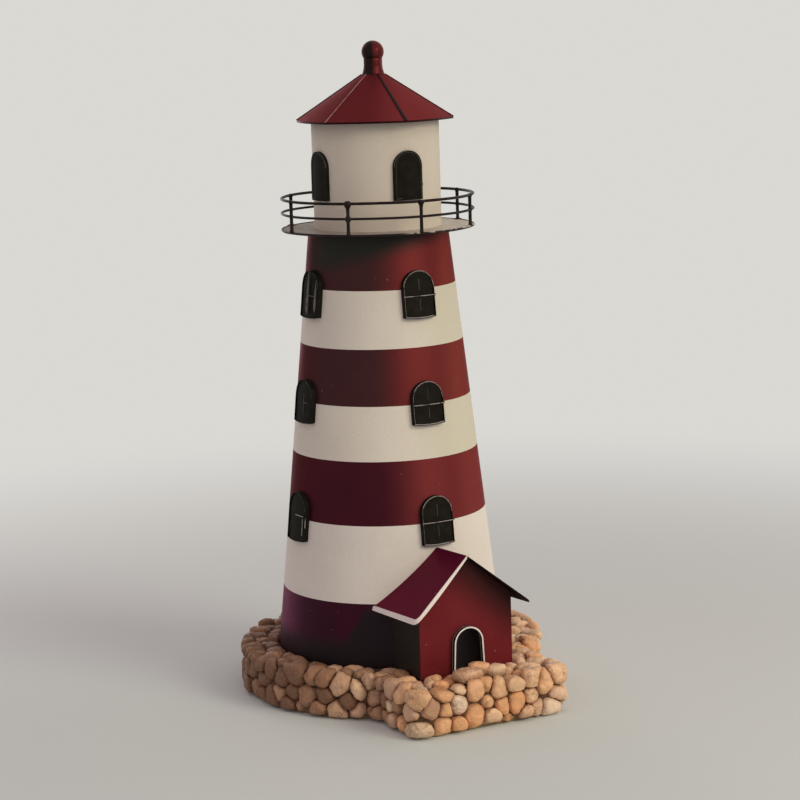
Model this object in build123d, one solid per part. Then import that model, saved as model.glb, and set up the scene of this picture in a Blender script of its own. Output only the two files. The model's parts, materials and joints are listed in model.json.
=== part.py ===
from build123d import *
from math import atan2, cos, degrees, hypot, pi, radians, sin, sqrt
import os

# A painted sheet-metal lighthouse ornament on a bank of glued pebbles.
# Origin: the tower's axis at the underside. +Z is up and the cottage faces -Y. Millimetres.

# Sheet metal and wire
SHEET = 1.0
TOP_RAIL_WIRE = 1.9
MID_RAIL_WIRE = 1.6
POST_WIRE = 2.4
RAIL_JOINT = 1.9
RIM_WIRE = 1.8

# Base board and pebble bank
BOARD_THICKNESS = 5.0
BOARD_INSET = 7.0
BANK_RADIUS = 115.0
BANK_TOP = 36.0
BANK_SHOULDER = 6.0
BANK_FOOT = 5.0
APRON_HALF_WIDTH = 65.5
APRON_FRONT = 155.0
APRON_CORNER = 11.0
APRON_COVE = 14.0

# Tower: a cone that narrows evenly from the board to the gallery
TOWER_RADIUS = 88.06
TOWER_TAPER = 0.106
DECK_TOP = 344.4
BAND_NAMES = [
    "tower_foot_red",
    "tower_low_white",
    "tower_low_red",
    "tower_mid_white",
    "tower_mid_red",
    "tower_high_white",
    "tower_high_red",
]
BAND_TOPS = [77.4, 133.7, 180.1, 219.8, 260.8, 302.7, DECK_TOP - SHEET]

# Windows: four at every level, by how far round from the front they stand (front, right, back, left),
# and each level's bottom and top heights
WINDOW_BEARINGS = (1.0, 102.0, 180.0, 271.5)
WINDOW_WIDTH = 25.5
WINDOW_LEVELS = {
    "lower_windows": (118.2, 153.5),
    "middle_windows": (205.4, 236.5),
    "upper_windows": (282.3, 316.2),
}
WINDOW_STANDS_PROUD = 4.0
WINDOW_RIM = 1.2
WINDOW_PANE_PROUD = 1.6
SILL_RISE = 3.2
LANTERN_WINDOW_WIDTH = 23.0
LANTERN_WINDOW_LEVEL = (366.3, 401.9)
LANTERN_WINDOW_PROUD = 2.6
LANTERN_PANE_PROUD = 1.5

# Gallery and lantern room
DECK_RADIUS = 71.5
POST_BEARINGS = (-1.5, 45.0, 94.0, 136.0, 178.0, 219.0, 270.0, 315.0)
MID_RAIL = 356.1
TOP_RAIL = 366.9
LANTERN_RADIUS = 46.9
LANTERN_RISE = 2.6

# Lantern roof: six gores, flatter across than a true cone
GORES = 6
ROOF_TURN = -5.0
EAVE_RADIUS = 58.0
EAVE_HEIGHT = 423.6
EAVE_CURVE = 90.0
ROOF_TOP_RADIUS = 8.6
ROOF_TOP = 455.6
HEM_DEPTH = 1.4
HEM_WIDTH = 2.4
GORE_CAVITY = (0.6, 0.9)
SEAM_PROUD = 0.5
SEAM_ROOT = 0.5
LAP_SEAM = (1.2, 2.2)
FOLD_SEAM = (0.6, 0.8)

# Finial
STEM_RADIUS = 6.9
STEM_FLARE = 3.5
BALL_RADIUS = 8.2
TOTAL_HEIGHT = 480.0

# Cottage against the front of the tower. Its roof tips up a little towards the front, its slopes run
# further forward at the eaves than at the ridge, and a white rim is folded over the left slope's edges.
COTTAGE_HALF_WIDTH = 37.7
COTTAGE_FRONT = 116.2
RIDGE_HEIGHT = 115.6
RIDGE_BACK = 76.0
EAVE_REACH = 46.85
EAVE_LINE = 76.8
ROOF_TIP = 2.92
VERGE_AT_RIDGE = 120.3
VERGE_AT_EAVE = 127.4
ROOF_CORNER = 3.0
ROOF_SHEET_RISE = 1.25
TRIM = 0.9
TRIM_LAP = 0.3
VERGE_TRIM_DROP = 2.9
VERGE_TRIM_BOW = 1.4
EAVE_TRIM_DROP = 3.2
DOOR_HALF_WIDTH = 11.8
DOOR_FLARE = 1.2
DOOR_SPRING = 54.0
DOOR_FOOT = 30.0
DOOR_PROUD = 4.0
DOOR_RIM = 1.1


def tower_radius(z):
    return TOWER_RADIUS - TOWER_TAPER * z


def tower_cone(z_low, z_high, proud=0.0):
    """Solid slice of the tower's cone, grown outwards by proud."""
    low = tower_radius(z_low) + proud
    high = tower_radius(z_high) + proud
    return Pos(0, 0, (z_low + z_high) / 2) * Cone(low, high, z_high - z_low)


def tower_room():
    """Everything inside the tower's outer face, for trimming what butts against it."""
    return tower_cone(-1, DECK_TOP)


def arch(half_width, foot, top, y, flare=0.0):
    """Face in the XZ plane at y: straight sides, which may splay to the foot, under a round head."""
    spring = top - half_width
    with BuildSketch(Plane.XZ.offset(-y)) as face:
        with BuildLine():
            Line((-half_width, spring), (-half_width - flare, foot))
            Line((-half_width - flare, foot), (half_width + flare, foot))
            Line((half_width + flare, foot), (half_width, spring))
            ThreePointArc((half_width, spring), (0, top), (-half_width, spring))
        make_face()
    return face.sketch


def arch_block(half_width, foot, top, front, back, flare=0.0):
    """Arched prism from y = -front to y = -back."""
    return extrude(arch(half_width, foot, top, -back, flare), front - back, dir=(0, -1, 0))


# ---------------------------------------------------------------- base

def bank_outline(inset=0.0):
    """Plan of the bank, drawn in at its edge by inset: a circle with a square apron in front."""
    radius = BANK_RADIUS - inset
    half = APRON_HALF_WIDTH - inset
    front = APRON_FRONT - inset
    plan = Sketch() + Circle(radius) + Pos(0, -front / 2) * Rectangle(2 * half, front)
    coves = plan.vertices().filter_by(lambda v: 1 - front < v.Y < -half)
    plan = fillet(coves, APRON_COVE)
    corners = plan.vertices().filter_by(lambda v: v.Y < 1 - front)
    return fillet(corners, APRON_CORNER)


def base_board():
    return extrude(bank_outline(BOARD_INSET), BOARD_THICKNESS)


def cottage_block(z_low, z_high):
    """The ground that the cottage covers, up to its walls' outer faces."""
    return Pos(0, 0, z_low) * Box(
        2 * COTTAGE_HALF_WIDTH,
        COTTAGE_FRONT,
        z_high - z_low,
        align=(Align.CENTER, Align.MAX, Align.MIN),
    )


def pebble_bank():
    bank = extrude(bank_outline(), BANK_TOP)
    rim = bank.edges().filter_by_position(Axis.Z, BANK_TOP - 0.1, BANK_TOP + 0.1)
    bank = fillet(rim, BANK_SHOULDER)
    foot = bank.edges().filter_by_position(Axis.Z, -0.1, 0.1)
    bank = fillet(foot, BANK_FOOT)
    bank -= base_board()
    bank -= tower_room()
    bank -= cottage_block(0, BANK_TOP + 1)
    return bank - cottage_door_frame()


def bank_part(x_low, x_high, y_low, y_high):
    cutter = Pos((x_low + x_high) / 2, (y_low + y_high) / 2, BANK_TOP / 2) * Box(
        x_high - x_low, y_high - y_low, BANK_TOP + 2
    )
    return pebble_bank() & cutter


def bank_parts():
    far = APRON_FRONT + BANK_RADIUS
    return {
        "pebble_bank_front": bank_part(-far, far, -far, -COTTAGE_FRONT),
        "pebble_bank_left": bank_part(-far, 0, -COTTAGE_FRONT, 0),
        "pebble_bank_right": bank_part(0, far, -COTTAGE_FRONT, 0),
        "pebble_bank_back": bank_part(-far, far, 0, far),
    }


# ---------------------------------------------------------------- tower

def window_hole(width, level, reach):
    foot, top = level
    return arch_block(width / 2, foot, top, reach, 0)


def on_each_side(shape):
    """The shape turned from the front to where each of the four windows stands."""
    return [shape.rotate(Axis.Z, bearing).solid() for bearing in WINDOW_BEARINGS]


def tower_bands():
    holes = []
    for level in WINDOW_LEVELS.values():
        holes += on_each_side(window_hole(WINDOW_WIDTH, level, TOWER_RADIUS))
    bands = {}
    low = BOARD_THICKNESS
    for name, high in zip(BAND_NAMES, BAND_TOPS):
        band = tower_cone(low, high) - tower_cone(low, high, -SHEET)
        for hole in holes:
            box = hole.bounding_box()
            if box.max.Z > low and box.min.Z < high:
                band -= hole
        bands[name] = band
        low = high
    return bands


def window(level):
    """Arched black collar with a flat closed pane and a sill that slopes out and down."""
    foot, top = level
    half = WINDOW_WIDTH / 2
    middle = (foot + top) / 2
    reach = TOWER_RADIUS + 2 * WINDOW_STANDS_PROUD
    block = arch_block(half, foot, top, reach, 0)
    block &= tower_cone(foot - 1, top + 1, WINDOW_STANDS_PROUD)
    block -= tower_cone(foot - 1, top + 1, -SHEET)
    pane = tower_radius(middle) + WINDOW_PANE_PROUD
    recess = arch_block(half - WINDOW_RIM, foot + WINDOW_RIM, top - WINDOW_RIM, reach, pane)
    sill_front = tower_radius(foot) + WINDOW_STANDS_PROUD
    slope = Polygon(
        (-pane, foot),
        (-sill_front, foot),
        (-sill_front, foot + WINDOW_RIM),
        (-pane, foot + WINDOW_RIM + SILL_RISE),
        align=None,
    )
    sill = extrude(Plane.YZ.offset(-half) * slope, WINDOW_WIDTH)
    return block - (recess - sill)


def lantern_window():
    """Arched black shutter on the lantern room, closed, with a low rim."""
    foot, top = LANTERN_WINDOW_LEVEL
    half = LANTERN_WINDOW_WIDTH / 2
    outer = LANTERN_RADIUS + LANTERN_WINDOW_PROUD
    height = top - foot
    block = arch_block(half, foot, top, outer + 1, 0)
    block &= Pos(0, 0, foot) * Cylinder(outer, 3 * height)
    block -= Pos(0, 0, foot) * Cylinder(LANTERN_RADIUS - SHEET, 3 * height)
    face = LANTERN_RADIUS + LANTERN_PANE_PROUD
    rim = WINDOW_RIM
    recess = arch_block(half - rim, foot + rim, top - rim, outer + 1, 0)
    recess -= Pos(0, 0, foot) * Cylinder(face, 3 * height)
    return block - recess


# ---------------------------------------------------------------- gallery

def rim_wire():
    return Pos(0, 0, DECK_TOP - SHEET / 2) * Torus(DECK_RADIUS - RIM_WIRE / 2, RIM_WIRE / 2)


def gallery_deck():
    disc = Cylinder(DECK_RADIUS - RIM_WIRE / 2, SHEET, align=(Align.CENTER, Align.CENTER, Align.MAX))
    return Pos(0, 0, DECK_TOP) * disc - rim_wire()


def wire_arc(radius, height, wire, first, last):
    """Arc of round wire about the tower's axis, between two bearings counted from the front."""
    start = radians(first - 90)
    section = Plane(
        origin=(radius * cos(start), radius * sin(start), height),
        x_dir=(cos(start), sin(start), 0),
        z_dir=(-sin(start), cos(start), 0),
    ) * Circle(wire / 2)
    return revolve(section, Axis.Z, last - first)


def railing_segment(number):
    """One post with the half bays of both rails on either side of it."""
    bearing = POST_BEARINGS[number]
    before = (bearing - POST_BEARINGS[number - 1]) % 360 / 2
    after = (POST_BEARINGS[(number + 1) % len(POST_BEARINGS)] - bearing) % 360 / 2
    radius = DECK_RADIUS - RIM_WIRE / 2
    foot = DECK_TOP - SHEET / 2
    post = Pos(0, -radius, foot) * Cylinder(
        POST_WIRE / 2, TOP_RAIL - foot, align=(Align.CENTER, Align.CENTER, Align.MIN)
    )
    post -= rim_wire()
    post -= gallery_deck()
    segment = post + wire_arc(radius, TOP_RAIL, TOP_RAIL_WIRE, -before, after)
    segment += wire_arc(radius, MID_RAIL, MID_RAIL_WIRE, -before, after)
    segment += Pos(0, -radius, TOP_RAIL - 0.3) * Sphere(RAIL_JOINT)
    segment += Pos(0, -radius, MID_RAIL) * Sphere(RAIL_JOINT - 0.2)
    return segment.rotate(Axis.Z, bearing)


# ---------------------------------------------------------------- lantern roof

def gore_plan(radius, shrink=0.0):
    """Sector of the roof's plan between two seams, with the flat curve of its outer edge."""
    half = pi / GORES
    scale = radius / EAVE_RADIUS
    bulge = EAVE_CURVE * scale
    middle = radius * cos(half) + bulge - sqrt(bulge**2 - (radius * sin(half)) ** 2)
    left = (radius - shrink) * cos(half), (radius - shrink) * sin(half)
    right = left[0], -left[1]
    with BuildSketch() as plan:
        with BuildLine():
            Polyline(left, (0, 0), right)
            ThreePointArc(right, (middle - shrink, 0), left)
        make_face()
    return plan.sketch


def gore_wedge(shrink, drop):
    """Solid wedge under one gore, drawn in by shrink and lowered by drop."""
    eave = Pos(0, 0, EAVE_HEIGHT - drop) * gore_plan(EAVE_RADIUS, shrink)
    top = Pos(0, 0, ROOF_TOP - drop) * gore_plan(ROOF_TOP_RADIUS, shrink)
    return loft([eave.face(), top.face()], ruled=True)


def below_eave():
    width = 3 * EAVE_RADIUS
    return Pos(0, 0, EAVE_HEIGHT) * Box(width, width, width, align=(Align.CENTER, Align.CENTER, Align.MAX))


def roof_gore(number):
    gore = gore_wedge(0, 0) - gore_wedge(*GORE_CAVITY) - below_eave()
    gore -= Pos(0, 0, ROOF_TOP) * Cylinder(STEM_RADIUS - SHEET, EAVE_RADIUS)
    return gore.rotate(Axis.Z, gore_angle(number))


def gore_angle(number):
    """Direction of the middle of a gore, about the tower's axis."""
    return -90 + ROOF_TURN + 360 / GORES * (number + 0.5)


def roof_outline(shrink=0.0):
    outline = Sketch()
    for number in range(GORES):
        outline += gore_plan(EAVE_RADIUS, shrink).rotate(Axis.Z, gore_angle(number))
    return outline


def roof_hem():
    """Narrow turned-under lip that closes the gores' lower edges."""
    ring = roof_outline() - Circle(EAVE_RADIUS * cos(pi / GORES) - HEM_WIDTH)
    return extrude(Pos(0, 0, EAVE_HEIGHT - HEM_DEPTH) * ring, HEM_DEPTH)


def roof_seam(widths):
    """Strip over one seam line: widths are at the top and at the eave."""
    run = EAVE_RADIUS - ROOF_TOP_RADIUS
    rise = EAVE_HEIGHT - ROOF_TOP
    length = hypot(run, rise)
    lean = degrees(atan2(rise, run))
    top, eave = widths
    strip = Polygon((0, -top / 2), (length, -eave / 2), (length, eave / 2), (0, top / 2), align=None)
    bar = Pos(0, 0, -SEAM_ROOT) * extrude(strip, SEAM_PROUD + SEAM_ROOT)
    bar = Pos(ROOF_TOP_RADIUS, 0, ROOF_TOP) * Rot(0, -lean, 0) * bar
    bar -= Pos(0, 0, ROOF_TOP) * Cylinder(ROOF_TOP_RADIUS + 0.2, 2 * ROOF_TOP_RADIUS)
    return bar - below_eave()


def roof_seams():
    """Thick lapped seams and thin folded ones, turn about, laid over the gores."""
    seams = []
    for number in range(GORES):
        widths = LAP_SEAM if number % 2 == 0 else FOLD_SEAM
        seam = roof_seam(widths).rotate(Axis.Z, gore_angle(number - 0.5))
        seam -= roof_gore(number - 1)
        seam -= roof_gore(number)
        seams.append(seam.solid())
    return seams


def finial_stem():
    """Short tube on the roof's top that flares at its foot; the ball sits in its mouth."""
    neck = neck_height()
    foot = (ROOF_TOP_RADIUS, ROOF_TOP)
    waist = (STEM_RADIUS, ROOF_TOP + STEM_FLARE)
    with BuildSketch(Plane.XZ) as half:
        with BuildLine():
            Polyline((STEM_RADIUS, neck), (0, neck), (0, ROOF_TOP), foot)
            Spline(foot, waist, (STEM_RADIUS, neck))
        make_face()
    return revolve(half.sketch, Axis.Z)


def neck_height():
    """Height at which the ball's surface meets the stem's."""
    return TOTAL_HEIGHT - BALL_RADIUS - sqrt(BALL_RADIUS**2 - STEM_RADIUS**2)


def finial_ball():
    ball = Pos(0, 0, TOTAL_HEIGHT - BALL_RADIUS) * Sphere(BALL_RADIUS)
    width = 3 * BALL_RADIUS
    stem_top = Pos(0, 0, neck_height())
    return ball - stem_top * Box(width, width, width, align=(Align.CENTER, Align.CENTER, Align.MAX))


# ---------------------------------------------------------------- lantern room

def lantern_room():
    """Upright tube from the gallery deck up into the roof, cut for its four windows."""
    wall = lantern_tube(LANTERN_RADIUS) - lantern_tube(LANTERN_RADIUS - SHEET)
    hole = window_hole(LANTERN_WINDOW_WIDTH, LANTERN_WINDOW_LEVEL, 2 * LANTERN_RADIUS)
    for opening in on_each_side(hole):
        wall -= opening
    return wall


def lantern_tube(radius):
    height = EAVE_HEIGHT - DECK_TOP + LANTERN_RISE
    return Pos(0, 0, DECK_TOP) * Cylinder(radius, height, align=(Align.CENTER, Align.CENTER, Align.MIN))


# ---------------------------------------------------------------- cottage

def slope_height(x):
    """Height of the left slope's top face before it is tipped up."""
    return RIDGE_HEIGHT + x * (RIDGE_HEIGHT - EAVE_LINE) / EAVE_REACH


def tipped(shape):
    """The shape tipped up towards the front, about the ridge's back end."""
    return shape.rotate(Axis((0, -RIDGE_BACK, RIDGE_HEIGHT), (1, 0, 0)), -ROOF_TIP)


def slope_plan(grow=0.0):
    """Plan of the left slope, grown at its eave and verge, with its front corner rounded."""
    reach = EAVE_REACH + grow
    with BuildSketch() as plan:
        with BuildLine():
            Polyline(
                (0, 0),
                (-reach, 0),
                (-reach, -VERGE_AT_EAVE - grow),
                (0, -VERGE_AT_RIDGE - grow),
                close=True,
            )
        make_face()
        fillet(plan.vertices().filter_by(lambda v: v.X < -1 and v.Y < -1), ROOF_CORNER + grow)
    return plan.sketch


def slope_layer(drop_top, drop_bottom, bow=0.0):
    """Prism under the left slope's top face, between two drops below it; bow sags its lower face."""
    reach = EAVE_REACH + TRIM
    ridge, eave = slope_height(0), slope_height(-reach)
    with BuildSketch(Plane.XZ) as section:
        with BuildLine():
            Polyline(
                (0, ridge - drop_bottom),
                (0, ridge - drop_top),
                (-reach, eave - drop_top),
                (-reach, eave - drop_bottom),
            )
            if bow:
                SagittaArc((-reach, eave - drop_bottom), (0, ridge - drop_bottom), -bow)
            else:
                Line((-reach, eave - drop_bottom), (0, ridge - drop_bottom))
        make_face()
    return extrude(section.sketch, APRON_FRONT, dir=(0, -1, 0))


def upright(plan):
    return extrude(plan, 2 * RIDGE_HEIGHT)


def cottage_roof_left():
    slope = slope_layer(0, ROOF_SHEET_RISE) & upright(slope_plan())
    return tipped(slope) - tower_room()


def under_roof():
    """The space below the roof sheets, over the ground that the cottage covers."""
    left = slope_layer(ROOF_SHEET_RISE, RIDGE_HEIGHT) & upright(slope_plan())
    return tipped(left + mirror(left, Plane.YZ))


def door_outline():
    """Arched prism around the doorway, out to its rim's outer face."""
    top = DOOR_SPRING + DOOR_HALF_WIDTH
    front = COTTAGE_FRONT + DOOR_PROUD
    return arch_block(DOOR_HALF_WIDTH, DOOR_FOOT, top, front, COTTAGE_FRONT - SHEET, DOOR_FLARE)


def cottage_front_wall():
    above = 2 * RIDGE_HEIGHT
    wall = cottage_block(BOARD_THICKNESS, above)
    wall -= Pos(0, SHEET, 0) * cottage_block(0, above + 1)
    wall &= under_roof()
    return wall - door_outline()


def cottage_wall_left():
    wall = Pos(-COTTAGE_HALF_WIDTH, 0, BOARD_THICKNESS) * Box(
        SHEET, COTTAGE_FRONT - SHEET, RIDGE_HEIGHT, align=(Align.MIN, Align.MAX, Align.MIN)
    )
    wall &= under_roof()
    return wall - tower_room()


def folded_rim():
    """White strip round the left slope's eave and verge, in its plan."""
    return upright(slope_plan(TRIM) - slope_plan())


def beside_eave():
    """The ground from the straight part of the eave backwards, where the eave's trim runs."""
    depth = VERGE_AT_EAVE - ROOF_CORNER
    return Pos(-EAVE_REACH + TRIM / 2, 0, 0) * Box(
        2 * TRIM, depth, 2 * RIDGE_HEIGHT, align=(Align.MAX, Align.MAX, Align.MIN)
    )


def cottage_verge_trim():
    strip = slope_layer(-TRIM_LAP, VERGE_TRIM_DROP, VERGE_TRIM_BOW) & folded_rim()
    return tipped(strip - beside_eave())


def cottage_eave_trim():
    strip = slope_layer(-TRIM_LAP, EAVE_TRIM_DROP) & folded_rim() & beside_eave()
    return tipped(strip) - tower_room()


def cottage_door_frame():
    """Arched collar through the front wall and proud of it, splayed a little to its foot."""
    half = DOOR_HALF_WIDTH - DOOR_RIM
    reach = COTTAGE_FRONT + 2 * DOOR_PROUD
    return door_outline() - arch_block(half, DOOR_FOOT, DOOR_SPRING + half, reach, 0, DOOR_FLARE)


# ---------------------------------------------------------------- assembly

def assembly():
    nodes = {"base_board": base_board()}
    nodes.update(bank_parts())
    nodes.update(tower_bands())
    for name, level in WINDOW_LEVELS.items():
        nodes[name] = on_each_side(window(level))
    nodes["lantern_windows"] = on_each_side(lantern_window())
    nodes["gallery_deck"] = gallery_deck()
    nodes["gallery_rim_wire"] = rim_wire()
    for number in range(len(POST_BEARINGS)):
        nodes[f"railing_segment_{number + 1}"] = railing_segment(number)
    nodes["lantern_room"] = lantern_room()
    nodes["roof_hem"] = roof_hem()
    for number in range(GORES):
        nodes[f"roof_gore_{number + 1}"] = roof_gore(number)
    nodes["roof_seams"] = roof_seams()
    nodes["finial_stem"] = finial_stem()
    nodes["finial_ball"] = finial_ball()
    nodes["cottage_front_wall"] = cottage_front_wall()
    nodes["cottage_wall_left"] = cottage_wall_left()
    nodes["cottage_wall_right"] = mirror(cottage_wall_left(), Plane.YZ)
    nodes["cottage_roof_left"] = cottage_roof_left()
    nodes["cottage_roof_right"] = mirror(cottage_roof_left(), Plane.YZ)
    nodes["cottage_verge_trim"] = cottage_verge_trim()
    nodes["cottage_eave_trim"] = cottage_eave_trim()
    nodes["cottage_door_frame"] = cottage_door_frame()
    return nodes


def write(nodes):
    os.makedirs("parts", exist_ok=True)
    for name, shape in nodes.items():
        piece = Compound(children=shape) if isinstance(shape, list) else shape.solid()
        piece.label = name
        export_step(piece, f"parts/{name}.step")


write(assembly())
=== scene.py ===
# %% [markdown]
# # A sheet-metal lighthouse ornament on a bank of pebbles
# The construction is already there: every wall, ring, rail and gore comes in as a fixed frame, in metres,
# with the tower's axis on Z and the cottage facing -Y. This lesson dresses it. We give each surface its
# paint, set real stones on the bank, and model the small things that catch the light: window frames,
# glazing bars, railing joints and the folded trim of the cottage roof.

# %% Load the frame
import json
import math
from contextlib import contextmanager

import bmesh
import bpy
import numpy as np
from mathutils import Matrix, Vector, noise


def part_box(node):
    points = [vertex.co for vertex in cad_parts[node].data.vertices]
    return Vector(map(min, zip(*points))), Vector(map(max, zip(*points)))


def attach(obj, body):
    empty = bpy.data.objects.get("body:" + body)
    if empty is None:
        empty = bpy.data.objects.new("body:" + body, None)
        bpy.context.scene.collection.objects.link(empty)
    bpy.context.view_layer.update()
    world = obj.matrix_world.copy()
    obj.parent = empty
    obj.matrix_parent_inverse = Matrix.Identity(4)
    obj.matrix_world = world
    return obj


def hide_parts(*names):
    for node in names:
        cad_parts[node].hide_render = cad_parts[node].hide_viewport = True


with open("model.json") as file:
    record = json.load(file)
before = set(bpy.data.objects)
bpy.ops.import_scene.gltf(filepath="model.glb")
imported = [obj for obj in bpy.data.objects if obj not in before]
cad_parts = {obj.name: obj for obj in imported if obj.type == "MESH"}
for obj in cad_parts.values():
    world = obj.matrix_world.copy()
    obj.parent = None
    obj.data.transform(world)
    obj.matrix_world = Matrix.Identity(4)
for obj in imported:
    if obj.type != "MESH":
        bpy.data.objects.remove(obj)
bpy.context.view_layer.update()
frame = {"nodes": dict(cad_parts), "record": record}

MM = 0.001
nodes = frame["nodes"]

# %% [markdown]
# ## Reading places from the frame
# Nothing is placed by eye. A node's box says how wide and how high it is, and since every band of the tower
# is widest at its lower edge, two of them are enough to know the cone's radius at any height.


# %% Heights and radii
def low(node):
    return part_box(node)[0]


def high(node):
    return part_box(node)[1]


def straight_line(x_a, y_a, x_b, y_b):
    """The function of the straight line through two points."""
    slope = (y_b - y_a) / (x_b - x_a)
    return lambda x: y_a + slope * (x - x_a)


tower_radius = straight_line(
    low("tower_foot_red").z, high("tower_foot_red").x, low("tower_high_red").z, high("tower_high_red").x
)
bank_radius = high("pebble_bank_back").y
bank_top = high("pebble_bank_back").z
apron_half = high("pebble_bank_front").x
apron_front = -low("pebble_bank_front").y
deck_top = high("gallery_deck").z
lantern_radius = high("lantern_room").x
cottage_half = high("cottage_front_wall").x
cottage_front = -low("cottage_front_wall").y
print("tower radius at the bank and the deck:", tower_radius(bank_top), tower_radius(deck_top))

# %% [markdown]
# ## The camera
# The ornament stands a little turned, its cottage to the right of the viewer, and is seen from far off with
# a long lens. The camera is given by its place and by three small angles: how far it looks down, how far to
# the right, and how far it is tipped, because the whole ornament leans slightly in the frame.

# %% Camera
VIEW_TURN = math.radians(27.53)
VIEW_DISTANCE = 1.7265
VIEW_HEIGHT = 0.5025
LOOK_DOWN = math.radians(9.50)
LOOK_RIGHT = math.radians(0.405)
TIP = math.radians(1.766)
LENS = 105.3


def turned(angle, axis="Z"):
    return Matrix.Rotation(angle, 4, axis)


def stand(name, data, place, rotation):
    """Puts a camera or a lamp into the scene, at a place and turned by a matrix."""
    holder = bpy.data.objects.new(name, data)
    holder.matrix_world = Matrix.Translation(place) @ rotation
    bpy.context.scene.collection.objects.link(holder)
    return holder


def round_about(turn, distance, height):
    """A place by its angle from the front towards the right, its distance from the axis and its height."""
    return Vector((math.sin(turn) * distance, -math.cos(turn) * distance, height))


camera_data = bpy.data.cameras.new("camera")
camera_data.lens = LENS
looking = turned(-VIEW_TURN - LOOK_RIGHT) @ turned(math.pi / 2 - LOOK_DOWN, "X") @ turned(-TIP)
camera = stand("camera", camera_data, round_about(-VIEW_TURN, VIEW_DISTANCE, VIEW_HEIGHT), looking)
bpy.context.scene.camera = camera
print("camera at", [round(value, 3) for value in camera.matrix_world.translation])

# %% [markdown]
# ## Building materials from nodes
# Every finish below is a small graph of nodes. One helper adds a node: its switches go in a dictionary, and
# its sockets are given by name, either as plain values or as another node's output to link. Masks and
# patterns read the object's own coordinates, so they stay with the part.


# %% Node helpers
def put(tree, socket, value):
    """Links another node's output to a socket, or sets the socket itself; a colour gets its alpha here."""
    if isinstance(value, bpy.types.NodeSocket):
        tree.links.new(value, socket)
    else:
        socket.default_value = (*value, 1) if socket.type == "RGBA" else value


def node(tree, kind, switches=None, **sockets):
    made = tree.nodes.new("ShaderNode" + kind)
    for key, value in (switches or {}).items():
        setattr(made, key, value)
    for key, value in sockets.items():
        put(tree, made.inputs[key.replace("_", " ")], value)
    return made


def math_node(tree, operation, *values):
    made = node(tree, "Math", {"operation": operation})
    for socket, value in zip(made.inputs, values):
        put(tree, socket, value)
    return made.outputs[0]


def times(tree, first, second):
    return math_node(tree, "MULTIPLY", first, second)


def minus(tree, first, second):
    return math_node(tree, "SUBTRACT", first, second)


def mix(tree, amount, first, second):
    return node(tree, "MixRGB", Fac=amount, Color1=first, Color2=second).outputs["Color"]


def coordinates(tree, kind="Object"):
    """The object's own coordinates, or with Normal the direction in which its surface faces."""
    return node(tree, "TexCoord").outputs[kind]


def place_of(tree):
    return node(tree, "SeparateXYZ", Vector=coordinates(tree)).outputs


def way_of(tree):
    return node(tree, "SeparateXYZ", Vector=coordinates(tree, "Normal")).outputs


def fade(tree, value, start, end):
    """A soft mask, 0 where the value is at start and 1 where it has reached end."""
    return node(
        tree, "MapRange", {"interpolation_type": "SMOOTHSTEP"}, Value=value, From_Min=start, From_Max=end
    ).outputs["Result"]


def speckle(tree, scale, low_value, high_value, detail=2.0):
    """Noise as a mask that grows from 0 to 1 between two of its values."""
    pattern = node(tree, "TexNoise", Vector=coordinates(tree), Scale=scale, Detail=detail).outputs["Fac"]
    return node(tree, "MapRange", Value=pattern, From_Min=low_value, From_Max=high_value).outputs["Result"]


# %% Materials
def new_material(name):
    material = bpy.data.materials.new(name)
    material.use_nodes = True
    return material, material.node_tree


def finish_paint(material, colour, roughness, relief=None, shine=0.5, **constants):
    """Fills the shader's sockets: what varies is linked, and what doesn't is set directly.

    The relief is a height, a strength and a depth for the bump; shine is the specular level."""
    tree = material.node_tree
    shader = tree.nodes["Principled BSDF"]
    constants |= {"Base_Color": colour, "Roughness": roughness, "Specular_IOR_Level": shine}
    if relief:
        height, strength, depth = relief
        bump = node(tree, "Bump", Height=height, Strength=strength, Distance=depth)
        constants["Normal"] = bump.outputs["Normal"]
    for name, value in constants.items():
        put(tree, shader.inputs[name.replace("_", " ")], value)
    return material


def print_finishes(word):
    print(word, "finishes:", [material.name for material in bpy.data.materials if word in material.name])


def two_tones(name, dark, light, pattern, roughness, relief, shine):
    """A finish of two colours parted by one speckle, which also lifts the surface a little."""
    material, tree = new_material(name)
    mask = speckle(tree, *pattern)
    return finish_paint(material, mix(tree, mask, dark, light), roughness, (mask, *relief), shine)


# %% [markdown]
# ## Working in edit mode from code
# New pieces are modelled as by hand: add a primitive, pick faces or edges, extrude, inset, bevel. Picking is
# done by a test on each element, so the same few helpers serve every piece. A finished piece's object sits
# at the origin, with its place in its mesh.


# %% Adding and picking
NEARLY = 0.02 * MM


def select_only(piece):
    bpy.ops.object.select_all(action="DESELECT")
    piece.select_set(True)
    bpy.context.view_layer.objects.active = piece


def pick_all():
    bpy.ops.mesh.select_all(action="SELECT")


@contextmanager
def editing(piece):
    """Edit mode on one piece, entered with everything in it selected."""
    select_only(piece)
    bpy.ops.object.mode_set(mode="EDIT")
    pick_all()
    yield
    bpy.ops.object.mode_set(mode="OBJECT")


def added(name, primitive, **options):
    """Adds one of Blender's primitives and puts its place, turn and size into its mesh."""
    bpy.ops.object.select_all(action="DESELECT")
    getattr(bpy.ops.mesh, "primitive_%s_add" % primitive)(**options)
    piece = bpy.context.active_object
    piece.name = name
    piece.data.transform(piece.matrix_world)
    piece.matrix_world = Matrix.Identity(4)
    return piece


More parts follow.
